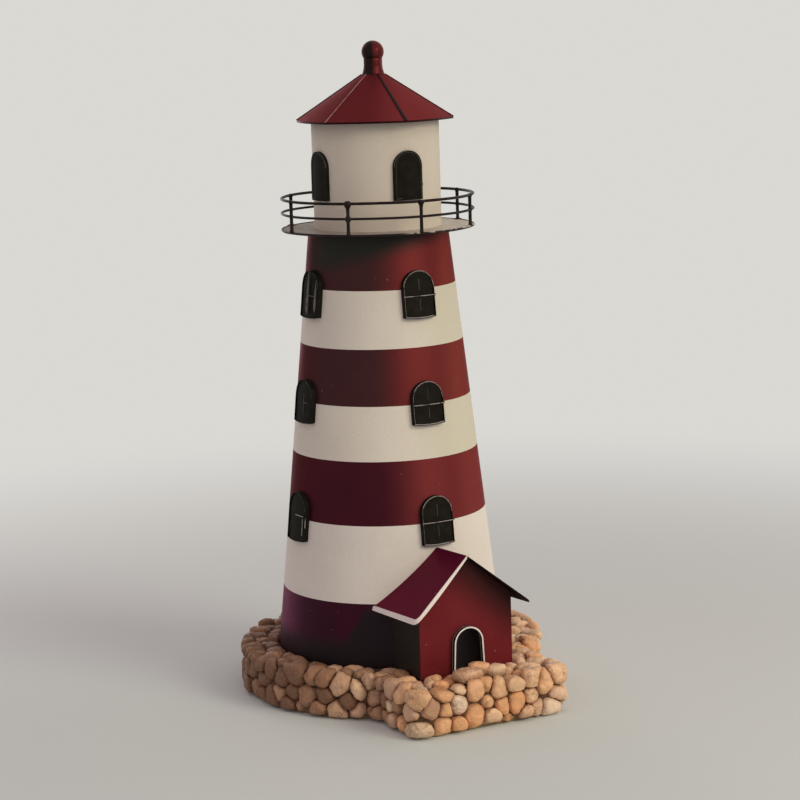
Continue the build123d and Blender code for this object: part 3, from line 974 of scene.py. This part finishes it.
for level, left_kind in (("lower", "hooked"), ("middle", "crossed"), ("upper", "wrought")):
    glazed, left_one = tower_window(level), tower_window(level, left_kind)
    window_row(level + "_window_row", [glazed] * 3 + [left_one], level + "_windows")

# %% [markdown]
# ## Lantern shutters
# The lantern room has flat arched shutters in place of windows: a low rim, a worn edge that is partly a
# painted highlight and a small latch at the side. They are made from the same slab and wrapped on the
# lantern's own radius.

# %% Lantern shutters
LANTERN_HALF = 11.5 * MM
SHUTTER_PROUD = 2.6 * MM
SHUTTER_RIM = 1.5 * MM
SHUTTER_SET_BACK = 0.45 * MM
LATCH_SHARE = 0.30


def lantern_shutter():
    foot, top = low("lantern_windows").z, high("lantern_windows").z
    shutter = arched_slab("shutter", LANTERN_HALF, foot, top, SHUTTER_PROUD)
    shutter.data.materials.append(shutter_black)
    # Grey for the rim's bright edges, worn and painted as highlights.
    shutter.data.materials.append(spindle_grey)
    sink_pane(shutter, SHUTTER_RIM, SHUTTER_PROUD, SHUTTER_SET_BACK)
    brighten_rim_edges(shutter, SHUTTER_PROUD, foot + LANTERN_HALF, LANTERN_HALF)
    latch_at = (LANTERN_HALF + 0.2 * MM, -1.6 * MM, foot + LATCH_SHARE * (top - foot))
    whole = join([shutter, small_ball("latch", 0.7 * MM, latch_at, 1.8)], "lantern_shutter")
    reshape(whole, lambda point: wrapped(point, lantern_radius))
    return whole


window_row("lantern_shutter_row", [lantern_shutter()] * 4, "lantern_windows")

# %% [markdown]
# ## Rim of the cottage roof
# The white rim folded over the left slope is narrow at the ridge and at the tower, and widens towards the
# front corner. We take copies of the frame's two strips and draw their undersides up towards the slope.

# %% White rim
KEPT_DEPTH = {"cottage_verge_trim": (0.5, 0.9), "cottage_eave_trim": (0.42, 0.78)}


def slimmer(name):
    """A copy of a strip whose depth is cut to a share, which changes from its far to its near end."""
    strip = copy_of(nodes[name])
    strip.name = name + "_slim"
    merge(strip)
    far_share, near_share = KEPT_DEPTH[name]
    slope = max((face for face in nodes["cottage_roof_left"].data.polygons if face.normal.z > 0.3),
                key=lambda face: face.area)
    along = 0 if name == "cottage_verge_trim" else 1
    far, near = high(name)[along], low(name)[along]

    def draw_up(point):
        depth = max((slope.center - point).dot(slope.normal), 0)
        kept = far_share + (near_share - far_share) * (far - point[along]) / (far - near)
        return point + slope.normal * depth * (1 - kept)

    reshape(strip, draw_up)
    smooth(strip)
    hand_over(strip, "white_trim", name)


for name in KEPT_DEPTH:
    slimmer(name)

# %% [markdown]
# ## Gallery railing
# Two rings of bent wire run round the deck, held by eight short posts that stand on the deck's rim. Solder
# fills each joint: a bead round the middle rail, a flared collar under the top rail and a small foot.
# The rings are tori. Each post is turned from one profile of foot, joint and top, and set at its bearing.

# %% Railing sizes
POST_BEARINGS = (-1.5, 45.0, 94.0, 136.0, 178.0, 219.0, 270.0, 315.0)
TOP_WIRE = 1.05 * MM
MID_WIRE = 0.92 * MM
RIM_WIRE = 0.9 * MM
MID_SHARE = 0.52
WAVER = (0.002, 0.002, 0.25 * MM)

deck_radius = high("gallery_rim_wire").x
rail_radius = deck_radius - RIM_WIRE
top_rail = high("railing_segment_1").z - 1.6 * MM
mid_rail = deck_top + MID_SHARE * (top_rail - deck_top)
print("rails at", round(top_rail, 4), round(mid_rail, 4), "radius", round(rail_radius, 4))


# %% Rails
def ring(name, wire, height):
    """A ring of wire that wavers a little, as bent by hand."""
    made = added(name, "torus", major_radius=rail_radius, minor_radius=wire, major_segments=144,
                 minor_segments=10, location=(0, 0, height))

    def waver(point):
        sway = noise.noise(Vector((point.x * 30, point.y * 30, height * 50)))
        return point + sway * Vector((point.x * WAVER[0], point.y * WAVER[1], WAVER[2]))

    reshape(made, waver)
    return made


# %% Posts
# Ring radii and heights in millimetres, counted from the joint's own height.
BEAD_TOP = [(1.35, -3.6), (2.1, -2.2), (2.8, -0.8), (2.8, 0.4), (2.1, 1.5), (0.9, 2.0)]
SLIM_TOP = [(1.3, -1.8), (1.7, -0.6), (1.7, 0.6), (1.0, 1.2)]
TRUMPET_TOP = [(1.3, -4.2), (1.7, -2.4), (2.5, -0.9), (3.0, -0.1), (2.6, 0.6), (1.0, 1.0)]
BEAD_JOINT = [(1.2, -2.8), (1.6, -1.9), (2.4, -0.6), (2.4, 0.6), (1.6, 1.5), (1.2, 2.2)]
SLIM_JOINT = [(1.2, -1.6), (1.5, -0.6), (1.5, 0.6), (1.2, 1.6)]
SOLDER_FOOT = [(1.9, 0.0), (1.8, 0.7), (1.3, 1.6)]
FLAT_FOOT = [(3.4, 0.0), (3.3, 0.5), (1.6, 1.1), (1.2, 1.8)]
FOOT_SUNK = 0.2 * MM


def post(bearing):
    """One post, turned from its foot, joint and top, and set on the rim at its bearing."""
    foot = FLAT_FOOT if 90 < bearing < 240 else SOLDER_FOOT
    joint, top = (BEAD_JOINT, BEAD_TOP) if bearing > 300 else (SLIM_JOINT, SLIM_TOP)
    if bearing < 0:
        top = TRUMPET_TOP
    profile = []
    for shape, height in ((foot, deck_top - FOOT_SUNK), (joint, mid_rail), (top, top_rail)):
        profile += [(radius * MM, height + rise * MM) for radius, rise in shape]
    made = lathe("post", profile, 14, centre=(0, -rail_radius))
    made.data.transform(turned(math.radians(bearing)))
    return made


rails = [ring("top_rail", TOP_WIRE, top_rail), ring("mid_rail", MID_WIRE, mid_rail)]
railing = join(rails + [post(bearing) for bearing in POST_BEARINGS], "gallery_railing")
railing.data.materials.append(wire_black)
smooth(railing, 50)
hand_over(railing, "black_wire", *["railing_segment_%d" % number for number in range(1, 9)])

rim = ring("deck_rim", RIM_WIRE, deck_top - 0.4 * MM)
rim.data.materials.append(rim_finish())
smooth(rim, 60)
hand_over(rim, "black_wire", "gallery_rim_wire")

# %% [markdown]
# ## Finial
# A short stem flares out of the roof's top and carries a small ball. Both are turned from a profile. Their
# red lacquer is clouded with paler red as painted glints, and painted near-black on the side away from the
# key lamp as its shade.


# %% Finial finish
def finial_finish():
    material, tree = new_material("finial_finish")
    tone = speckle(tree, 260.0, 0.35, 0.7)
    # Paler red clouds, painted as mottled glints.
    glint_clouds = speckle(tree, 420.0, 0.52, 0.68, 3.0)
    red = mix(tree, tone, (0.085, 0.010, 0.012), (0.125, 0.016, 0.017))
    with_painted_glints = mix(tree, times(tree, glint_clouds, 0.14), red, (0.42, 0.17, 0.15))
    # Painted shade: near black on the side away from the key lamp.
    painted_dark_side = times(tree, fade(tree, towards_key_light(tree, "Normal"), 0.12, -0.10), 0.98)
    return finish_paint(material, mix(tree, painted_dark_side, with_painted_glints, SHADE_AND_BLACK_PAINT), 0.34, (tone, 0.18, 0.5 * MM), 0.2,
                        Metallic=0.35, Specular_Tint=(0.8, 0.36, 0.36))


# %% Stem and ball
BALL_RADIUS = 8.2 * MM
BALL_FROM, BALL_TO = math.radians(-32), math.radians(88)
BALL_STEPS = 12
ball_centre = high("finial_ball").z - BALL_RADIUS
stem_foot = low("finial_stem").z
stem_flare = high("finial_stem").x

ball_profile = []
for step in range(BALL_STEPS + 1):
    angle = BALL_FROM + (BALL_TO - BALL_FROM) * step / BALL_STEPS
    ball_profile.append((BALL_RADIUS * math.cos(angle), ball_centre + BALL_RADIUS * math.sin(angle)))
neck_radius, neck_height = ball_profile[0]
stem_profile = [
    (stem_flare, stem_foot), (stem_flare - 0.5 * MM, stem_foot + 0.6 * MM), (7.7 * MM, stem_foot + 1.8 * MM),
    (7.1 * MM, stem_foot + 3.8 * MM), (6.8 * MM, stem_foot + 7.0 * MM), (6.8 * MM, neck_height - 2.0 * MM),
    (neck_radius - 0.1 * MM, neck_height - 0.3 * MM), (neck_radius - 0.8 * MM, neck_height + 0.4 * MM),
]
finial_paint = finial_finish()
for name, profile, replaced in (
    ("finial_neck", stem_profile, "finial_stem"), ("finial_knob", ball_profile, "finial_ball")
):
    piece = lathe(name, profile, 40)
    piece.data.materials.append(finial_paint)
    smooth(piece, 60)
    hand_over(piece, "roof_red", replaced)

# %% [markdown]
# ## The bank of pebbles
# About three hundred river pebbles are glued on. Real pebbles fill a bank because each takes the room that
# its neighbours leave, so we let them share the room in the same way. First we scatter one seed for each
# stone on a skin just inside the bank's surface and push the seeds apart. Then every stone is swollen from a
# small ball until it meets the planes between it and its neighbours, the bank's outer skin, the floor and
# the walls. A rounded power sum of those planes keeps its corners soft.

# %% The bank's form
COVE = 14.0 * MM
APRON_CORNER = 11.0 * MM
SHOULDER = 6.0 * MM
FOOT_ROUND = 5.0 * MM
SKIN = 6.3 * MM
PRESS = 1.2 * MM
STEP = 0.2 * MM


def plan_distance(x, y):
    """Signed distance from the bank's plan outline: negative inside, with coves beside the apron."""
    ring_part = np.hypot(x, y) - bank_radius
    half_depth = apron_front / 2
    away_x = np.abs(x) - apron_half + APRON_CORNER
    away_y = np.abs(y + half_depth) - half_depth + APRON_CORNER
    corner = np.hypot(np.maximum(away_x, 0), np.maximum(away_y, 0))
    apron_part = corner + np.minimum(np.maximum(away_x, away_y), 0) - APRON_CORNER
    blend = np.clip(0.5 + 0.5 * (apron_part - ring_part) / COVE, 0, 1)
    return apron_part * (1 - blend) + ring_part * blend - COVE * blend * (1 - blend) * 0.5


def bank_distance(p):
    """Signed distance from the whole bank, rounded at its shoulder and its foot."""
    radius = np.where(p[..., 2] > bank_top / 2, SHOULDER, FOOT_ROUND)
    across = plan_distance(p[..., 0], p[..., 1]) + radius
    along = np.abs(p[..., 2] - bank_top / 2) - bank_top / 2 + radius
    corner = np.hypot(np.maximum(across, 0), np.maximum(along, 0))
    return np.minimum(np.maximum(across, along), 0) + corner - radius


def outward_of(p):
    """Direction in which the bank's surface is nearest, by small differences."""
    shifts = STEP * np.eye(3)
    direction = np.stack([bank_distance(p + shift) - bank_distance(p - shift) for shift in shifts], axis=-1)
    return direction / np.linalg.norm(direction, axis=-1, keepdims=True)


def pressed_in(p):
    """Presses points that would stand out of the bank's form softly back under its surface."""
    over = bank_distance(p) + PRESS
    pressed = PRESS * (1 - np.exp(-np.maximum(over, 0) / PRESS))
    return p - outward_of(p) * np.where(over > 0, over - pressed, 0)[:, None]


def beside_cottage(p):
    """How far points lie beside and ahead of the cottage's walls."""
    return np.abs(p[..., 0]) - cottage_half, -cottage_front - p[..., 1]


def wall_distance(p):
    """Distance from the tower's wall and from the cottage's, negative inside them."""
    from_tower = np.hypot(p[..., 0], p[..., 1]) - tower_radius(p[..., 2])
    return from_tower, np.maximum(np.maximum(*beside_cottage(p)), p[..., 1])


# %% [markdown]
# ## Glue between the stones
# Behind the stones lies a dark bed of glue and grit, seen only as dark joints. Its form is the bank's own,
# drawn in a little everywhere, so we copy the frame's four solids and move every point of their outer skin
# inwards.

# %% Glue bed
BED_SET_BACK = 5.6 * MM
BANK_NODES = ["pebble_bank_front", "pebble_bank_left", "pebble_bank_right", "pebble_bank_back"]


def drawn_in(point):
    """Moves a point of the bank's outer skin in by the bed's set-back."""
    p = np.array(point)[None]
    return Vector((p - outward_of(p) * max(bank_distance(p)[0] + BED_SET_BACK, 0))[0])


bed = join([copy_of(nodes[name]) for name in BANK_NODES], "glue_bed")
merge(bed)
reshape(bed, drawn_in)
bed.data.materials.clear()
bed.data.materials.append(two_tones("glue_finish", (0.075, 0.041, 0.025), (0.15, 0.085, 0.052),
                                    (300.0, 0.3, 0.7), 0.8, (0.3, 0.8 * MM), 0.1))
hand_over(bed, "pebbles")

# %% Seeds
# Stones are thrown in rounds, each with its share of the full size and its number of tries.
STONE_SIZES = (3.9 * MM, 6.6 * MM)
THROWS = ((1.0, 900), (0.75, 2500), (0.45, 6000), (0.15, 16000))
SIZE_SPREAD = (0.75, 1.0)
OVERLAP = 0.90
FLOOR_GAP = 5.0 * MM
WALL_GAP = 4.2 * MM
OFF_SKIN = 4 * MM
draw = np.random.default_rng(11)


def allowed(p):
    from_tower, from_cottage = wall_distance(p)
    return (from_tower > WALL_GAP) & (from_cottage > WALL_GAP) & (p[..., 2] > FLOOR_GAP)


def onto_skin(p):
    """Slides points to the skin below the surface, then off the floor and the walls."""
    for _ in range(3):
        p = p - outward_of(p) * (bank_distance(p) + SKIN)[:, None]
    p[:, 2] = np.clip(p[:, 2], FLOOR_GAP, bank_top - SKIN)
    need = tower_radius(p[:, 2]) + WALL_GAP
    p[:, :2] *= np.maximum(need / np.hypot(p[:, 0], p[:, 1]), 1)[:, None]
    side, ahead = beside_cottage(p)
    inside = (np.maximum(side, ahead) < WALL_GAP) & (p[:, 1] < 0)
    by_side = inside & (side > ahead)
    p[by_side, 0] = np.sign(p[by_side, 0]) * (cottage_half + WALL_GAP)
    p[inside & ~by_side, 1] = -cottage_front - WALL_GAP
    return p


def scatter():
    """Throws seeds until no more fit, the large stones first."""
    seeds, sizes = np.zeros((0, 3)), np.zeros(0)
    smallest, largest = STONE_SIZES
    for share, tries in THROWS:
        p = np.stack([
            draw.uniform(-bank_radius, bank_radius, tries),
            draw.uniform(-apron_front, bank_radius, tries),
            draw.uniform(FLOOR_GAP, bank_top, tries),
        ], axis=-1)
        p = onto_skin(p[np.abs(bank_distance(p) + SKIN) < OFF_SKIN])
        for point in p[allowed(p + 1e-6)]:
            size = smallest + (largest - smallest) * share * draw.uniform(*SIZE_SPREAD)
            gaps = np.linalg.norm(seeds - point, axis=1) - OVERLAP * (sizes + size)
            if (gaps > 0).all():
                seeds = np.vstack([seeds, point])
                sizes = np.append(sizes, size)
    return seeds, sizes


# %% Pushing the seeds apart
PUSHES = 14
PUSH_SHARE = 0.22
LONGEST_PUSH = 2 * MM
ROOM_SHARE = 1.04


def relax(seeds, sizes):
    """Pushes stones that are too close apart, a little at a time."""
    itself = np.eye(len(seeds))
    for _ in range(PUSHES):
        gap = seeds[:, None] - seeds[None]
        far = np.linalg.norm(gap, axis=-1) + itself
        room = ROOM_SHARE * (sizes[:, None] + sizes[None])
        push = np.clip(room - far, 0, LONGEST_PUSH) * (1 - itself)
        seeds = onto_skin(seeds + PUSH_SHARE * (gap / far[..., None] * push[..., None]).sum(axis=1))
    return seeds


seeds, sizes = scatter()
seeds = relax(seeds, sizes)
print("stones:", len(seeds))

# %% [markdown]
# ## Swelling the stones
# The base stone is a cube, each side cut into sixteen faces and all of them rounded to a ball: 96 faces.
# Each copy's points are drawn out along their directions to its own walls.

# %% Base stone
base_stone = added("base_stone", "cube", size=2)
with editing(base_stone):
    bpy.ops.mesh.subdivide(number_cuts=3)
    bpy.ops.transform.tosphere(value=1.0)
directions = np.array([point.co.normalized() for point in base_stone.data.vertices])
print("base stone faces:", len(base_stone.data.polygons))

# %% Planes round one stone
NEIGHBOURS_WITHIN = 22 * MM
WALLS_WITHIN = 14 * MM
JOINT = 0.08 * MM
OFF_WALL = 0.1 * MM
OFF_FLOOR = 0.2 * MM
DEPTH_SHARE = 1.15


def planes_round(index):
    """Unit directions to the walls of one stone's room, and their distances from its seed."""
    seed, size = seeds[index], sizes[index]
    gap = seeds - seed
    far = np.linalg.norm(gap, axis=1)
    near = (far > 0) & (far < NEIGHBOURS_WITHIN)
    ways = [*(gap[near] / far[near][:, None]), -outward_of(seed[None])[0], (0.0, 0.0, -1.0)]
    rooms = [*(far[near] * size / (size + sizes[near]) - JOINT), DEPTH_SHARE * size, seed[2] - OFF_FLOOR]
    from_tower, from_cottage = wall_distance(seed)
    if from_tower < WALLS_WITHIN:
        ways.append(-np.array([seed[0], seed[1], 0]) / np.hypot(seed[0], seed[1]))
        rooms.append(from_tower - OFF_WALL)
    if 0 < from_cottage < WALLS_WITHIN and seed[1] < 0:
        side, ahead = beside_cottage(seed)
        ways.append((-np.sign(seed[0]), 0, 0) if side > ahead else (0, 1.0, 0))
        rooms.append(from_cottage - OFF_WALL)
    return np.array(ways), np.array(rooms)


# %% The shape of one stone
# Each kind of lump is given by its fineness, its shift from stone to stone and its height.
LUMPS = ((1.3, 900, 0.13), (2.9, 700, 0.09))
SOFTNESS = (4.4, 11.0)
ROUNDNESS = (1.75, 2.7)
DEEPEST = 2.2 * MM
DEEPER_ON_TOP = 1.5 * MM
LONGEST = 2.1


def lumps_on(seed):
    """Low swellings and a few sharper knobs, different on each stone."""
    return sum(
        height * np.array([noise.noise(Vector(way * fineness) + Vector(seed * shift)) for way in directions])
        for fineness, shift, height in LUMPS
    )


def stone_points(index):
    seed = seeds[index]
    ways, rooms = planes_round(index)
    softness = draw.uniform(*SOFTNESS)
    facing = np.maximum(directions @ ways.T, 0) / rooms
    sides = (facing ** softness).sum(axis=1) ** (1 / softness)
    out = outward_of(seed[None])[0]
    stands_out = -bank_distance(seed[None])[0] - draw.uniform(0, DEEPEST + DEEPER_ON_TOP * max(out[2], 0))
    cap = np.maximum(directions @ out, 0) / stands_out
    roundness = draw.uniform(*ROUNDNESS)
    reach = (sides ** roundness + cap ** roundness) ** (-1 / roundness)
    reach = np.minimum(reach, LONGEST * sizes[index]) * (1.03 + lumps_on(seed))
    points = pressed_in(seed + directions * reach[:, None])
    points[:, 2] = np.maximum(points[:, 2], 0.1 * MM)
    return points


def bank_of(seed):
    if seed[1] > 0:
        return "pebble_bank_back"
    if seed[1] < -cottage_front:
        return "pebble_bank_front"
    return "pebble_bank_left" if seed[0] < 0 else "pebble_bank_right"


# %% Stones
# Stones on the threshold are laid singly: centre, half sizes, turn in degrees and the three colour numbers.
# How brown or pale a stone may be drawn is a start and a slope over its place towards the key lamp's side:
# browner away from it as painted shade, paler towards it as painted light.
# Below the clear depth, dirt and painted shade darken a stone towards its joints.
CLEAR_DEPTH = 1.5 * MM
DIRT_AND_SHADE_DEPTH = 4.0 * MM
BOX_POWER = 3.2
BROWNER = (0.15, -1.6)
PALER = (-0.4, 0.8)
MOST_PALE = 0.5
LAST_KIND = 0.85
FEWER_KINDS = 0.45
KIND_POWER = 1.25
BROWN_SHARE = 0.8
THRESHOLD_STONES = [
    ((-12, -138, 36), (11.5, 8.0, 5.0), 14, (0.62, 0.55, 0.9)),
    ((1, -132, 37.5), (7.5, 5.5, 5.0), -22, (0.12, 0.75, 0.3)),
    ((11, -137, 35.5), (7.0, 6.5, 5.0), 12, (0.42, 0.80, 0.4)),
]


def laid_stone(centre, half_sizes, turn):
    """Points of a lumpy stone laid on the bank, its long side turned by an angle in degrees."""
    centre = np.array(centre) * MM
    box = (np.abs(directions / np.array(half_sizes)) ** BOX_POWER).sum(axis=1) ** (-1 / BOX_POWER)
    points = directions * (box * (1 + 1.4 * lumps_on(centre)))[:, None] * MM
    c, s = math.cos(math.radians(turn)), math.sin(math.radians(turn))
    points[:, :2] = points[:, :2] @ np.array([[c, s], [-s, c]])
    return points + centre


def add_stone(bank, points, mark):
    """Copies the base stone, gives the copy its points, its three colour numbers and its dirt and painted
    shade.

    Both grow with the depth of a point under the stone's outermost one, so they gather towards the joints."""
    stone = copy_of(base_stone)
    stone.data.vertices.foreach_set("co", points.astype(np.float32).ravel())
    under = -bank_distance(points)
    dirt_and_shade = np.clip((under - under.min() - CLEAR_DEPTH) / DIRT_AND_SHADE_DEPTH, 0, 1)
    tone = stone.data.attributes.new("stone_tone", "FLOAT_COLOR", "POINT")
    tone.data.foreach_set("color", np.column_stack([np.tile(mark, (len(points), 1)), dirt_and_shade]).ravel())
    banks[bank].append(stone)


def drawn_mark(seed):
    """Kind, shade and mottle of a stone: paler ones towards the key lamp's side as painted light, browner
    ones away from it as painted shade.
    """
    lit_share = seed @ np.array(KEY_LIGHT_WAY) / bank_radius
    browner = np.clip(BROWNER[0] + BROWNER[1] * lit_share, 0, 1)
    paler = np.clip(PALER[0] + PALER[1] * lit_share, 0, MOST_PALE)
    last_kind = LAST_KIND - FEWER_KINDS * paler
    kind = min(draw.uniform(0, last_kind) ** KIND_POWER + BROWN_SHARE * browner, 1)
    return kind, draw.uniform(paler, 1 - BROWN_SHARE * browner), draw.uniform()


banks = {name: [] for name in BANK_NODES}
for index, seed in enumerate(seeds):
    points = stone_points(index)
    add_stone(bank_of(seed), points, drawn_mark(seed))
for centre, half_sizes, turn, mark in THRESHOLD_STONES:
    add_stone("pebble_bank_front", laid_stone(centre, half_sizes, turn), mark)
bpy.data.objects.remove(base_stone)

# %% [markdown]
# ## Stone colours
# Each stone carries three random numbers of its own. One picks its kind, from orange tan through beige to
# mauve grey, one its lightness, and one how strongly it is mottled and veined. Kind and lightness are drawn
# browner away from the key lamp and paler towards it, as painted shade and light. A fourth value, the dirt
# and painted shade towards the joints, changes from point to point.

# %% Pebble finish
STONE_KINDS = [
    (0.0, (0.84, 0.42, 0.19)), (0.22, (0.84, 0.52, 0.30)), (0.40, (0.84, 0.57, 0.36)),
    (0.50, (0.78, 0.61, 0.47)), (0.60, (0.77, 0.47, 0.29)), (0.74, (0.60, 0.37, 0.24)),
    (0.86, (0.36, 0.175, 0.09)), (1.0, (0.20, 0.09, 0.045)),
]


def colour_of_kind(tree, kind):
    ramp = node(tree, "ValToRGB", Fac=kind)
    stops = ramp.color_ramp.elements
    while len(stops) < len(STONE_KINDS):
        stops.new(0.5)
    for stop, (place, colour) in zip(stops, STONE_KINDS):
        stop.position = place
        stop.color = (*colour, 1)
    return ramp.outputs["Color"]


def pebble_finish():
    material, tree = new_material("pebble_finish")
    tone = node(tree, "Attribute", {"attribute_name": "stone_tone"}).outputs
    marks = node(tree, "SeparateColor", Color=tone["Color"]).outputs
    kind, shade, mottle = (marks[name] for name in ("Red", "Green", "Blue"))
    plain = colour_of_kind(tree, kind)
    cloud = speckle(tree, 150.0, 0.34, 0.66, 3.0)
    dents = speckle(tree, 240.0, 0.25, 0.75, 4.0)
    grit = speckle(tree, 900.0, 0.35, 0.7, 2.0)
    dark = mix(tree, 0.3, plain, (0.18, 0.09, 0.05))
    amount = times(tree, cloud, math_node(tree, "MULTIPLY_ADD", mottle, 0.6, 0.5))
    colour = mix(tree, times(tree, grit, 0.12), mix(tree, amount, plain, dark), (0.62, 0.50, 0.40))
    veins = node(tree, "TexNoise", Vector=coordinates(tree), Scale=95.0, Detail=5.0, Roughness=0.65)
    off_vein = math_node(tree, "ABSOLUTE", minus(tree, veins.outputs["Fac"], 0.5))
    veined = times(tree, fade(tree, off_vein, 0.022, 0.004), fade(tree, mottle, 0.35, 0.8))
    colour = mix(tree, times(tree, veined, 0.55), colour, (0.16, 0.075, 0.04))
    # Dirt and painted shade towards the joints.
    dirt_and_shade_amount = times(tree, math_node(tree, "POWER", tone["Alpha"], 0.9), 0.58)
    colour = mix(tree, dirt_and_shade_amount, colour, (0.13, 0.065, 0.035))
    light = node(tree, "MapRange", Value=shade, To_Min=0.98, To_Max=1.18).outputs["Result"]
    scaled = node(tree, "VectorMath", {"operation": "SCALE"}, Vector=colour, Scale=light)
    rough = node(tree, "MapRange", Value=math_node(tree, "ADD", cloud, kind), From_Max=2.0, To_Min=0.34,
                 To_Max=0.66)
    return finish_paint(material, scaled.outputs["Vector"], rough.outputs["Result"],
                        (dents, 0.75, 1.5 * MM), 0.35)


stone_paint = pebble_finish()
for name, stones in banks.items():
    heap = join(stones, name + "_stones")
    heap.data.materials.clear()
    heap.data.materials.append(stone_paint)
    smooth(heap, 180)
    hand_over(heap, "pebbles", name)
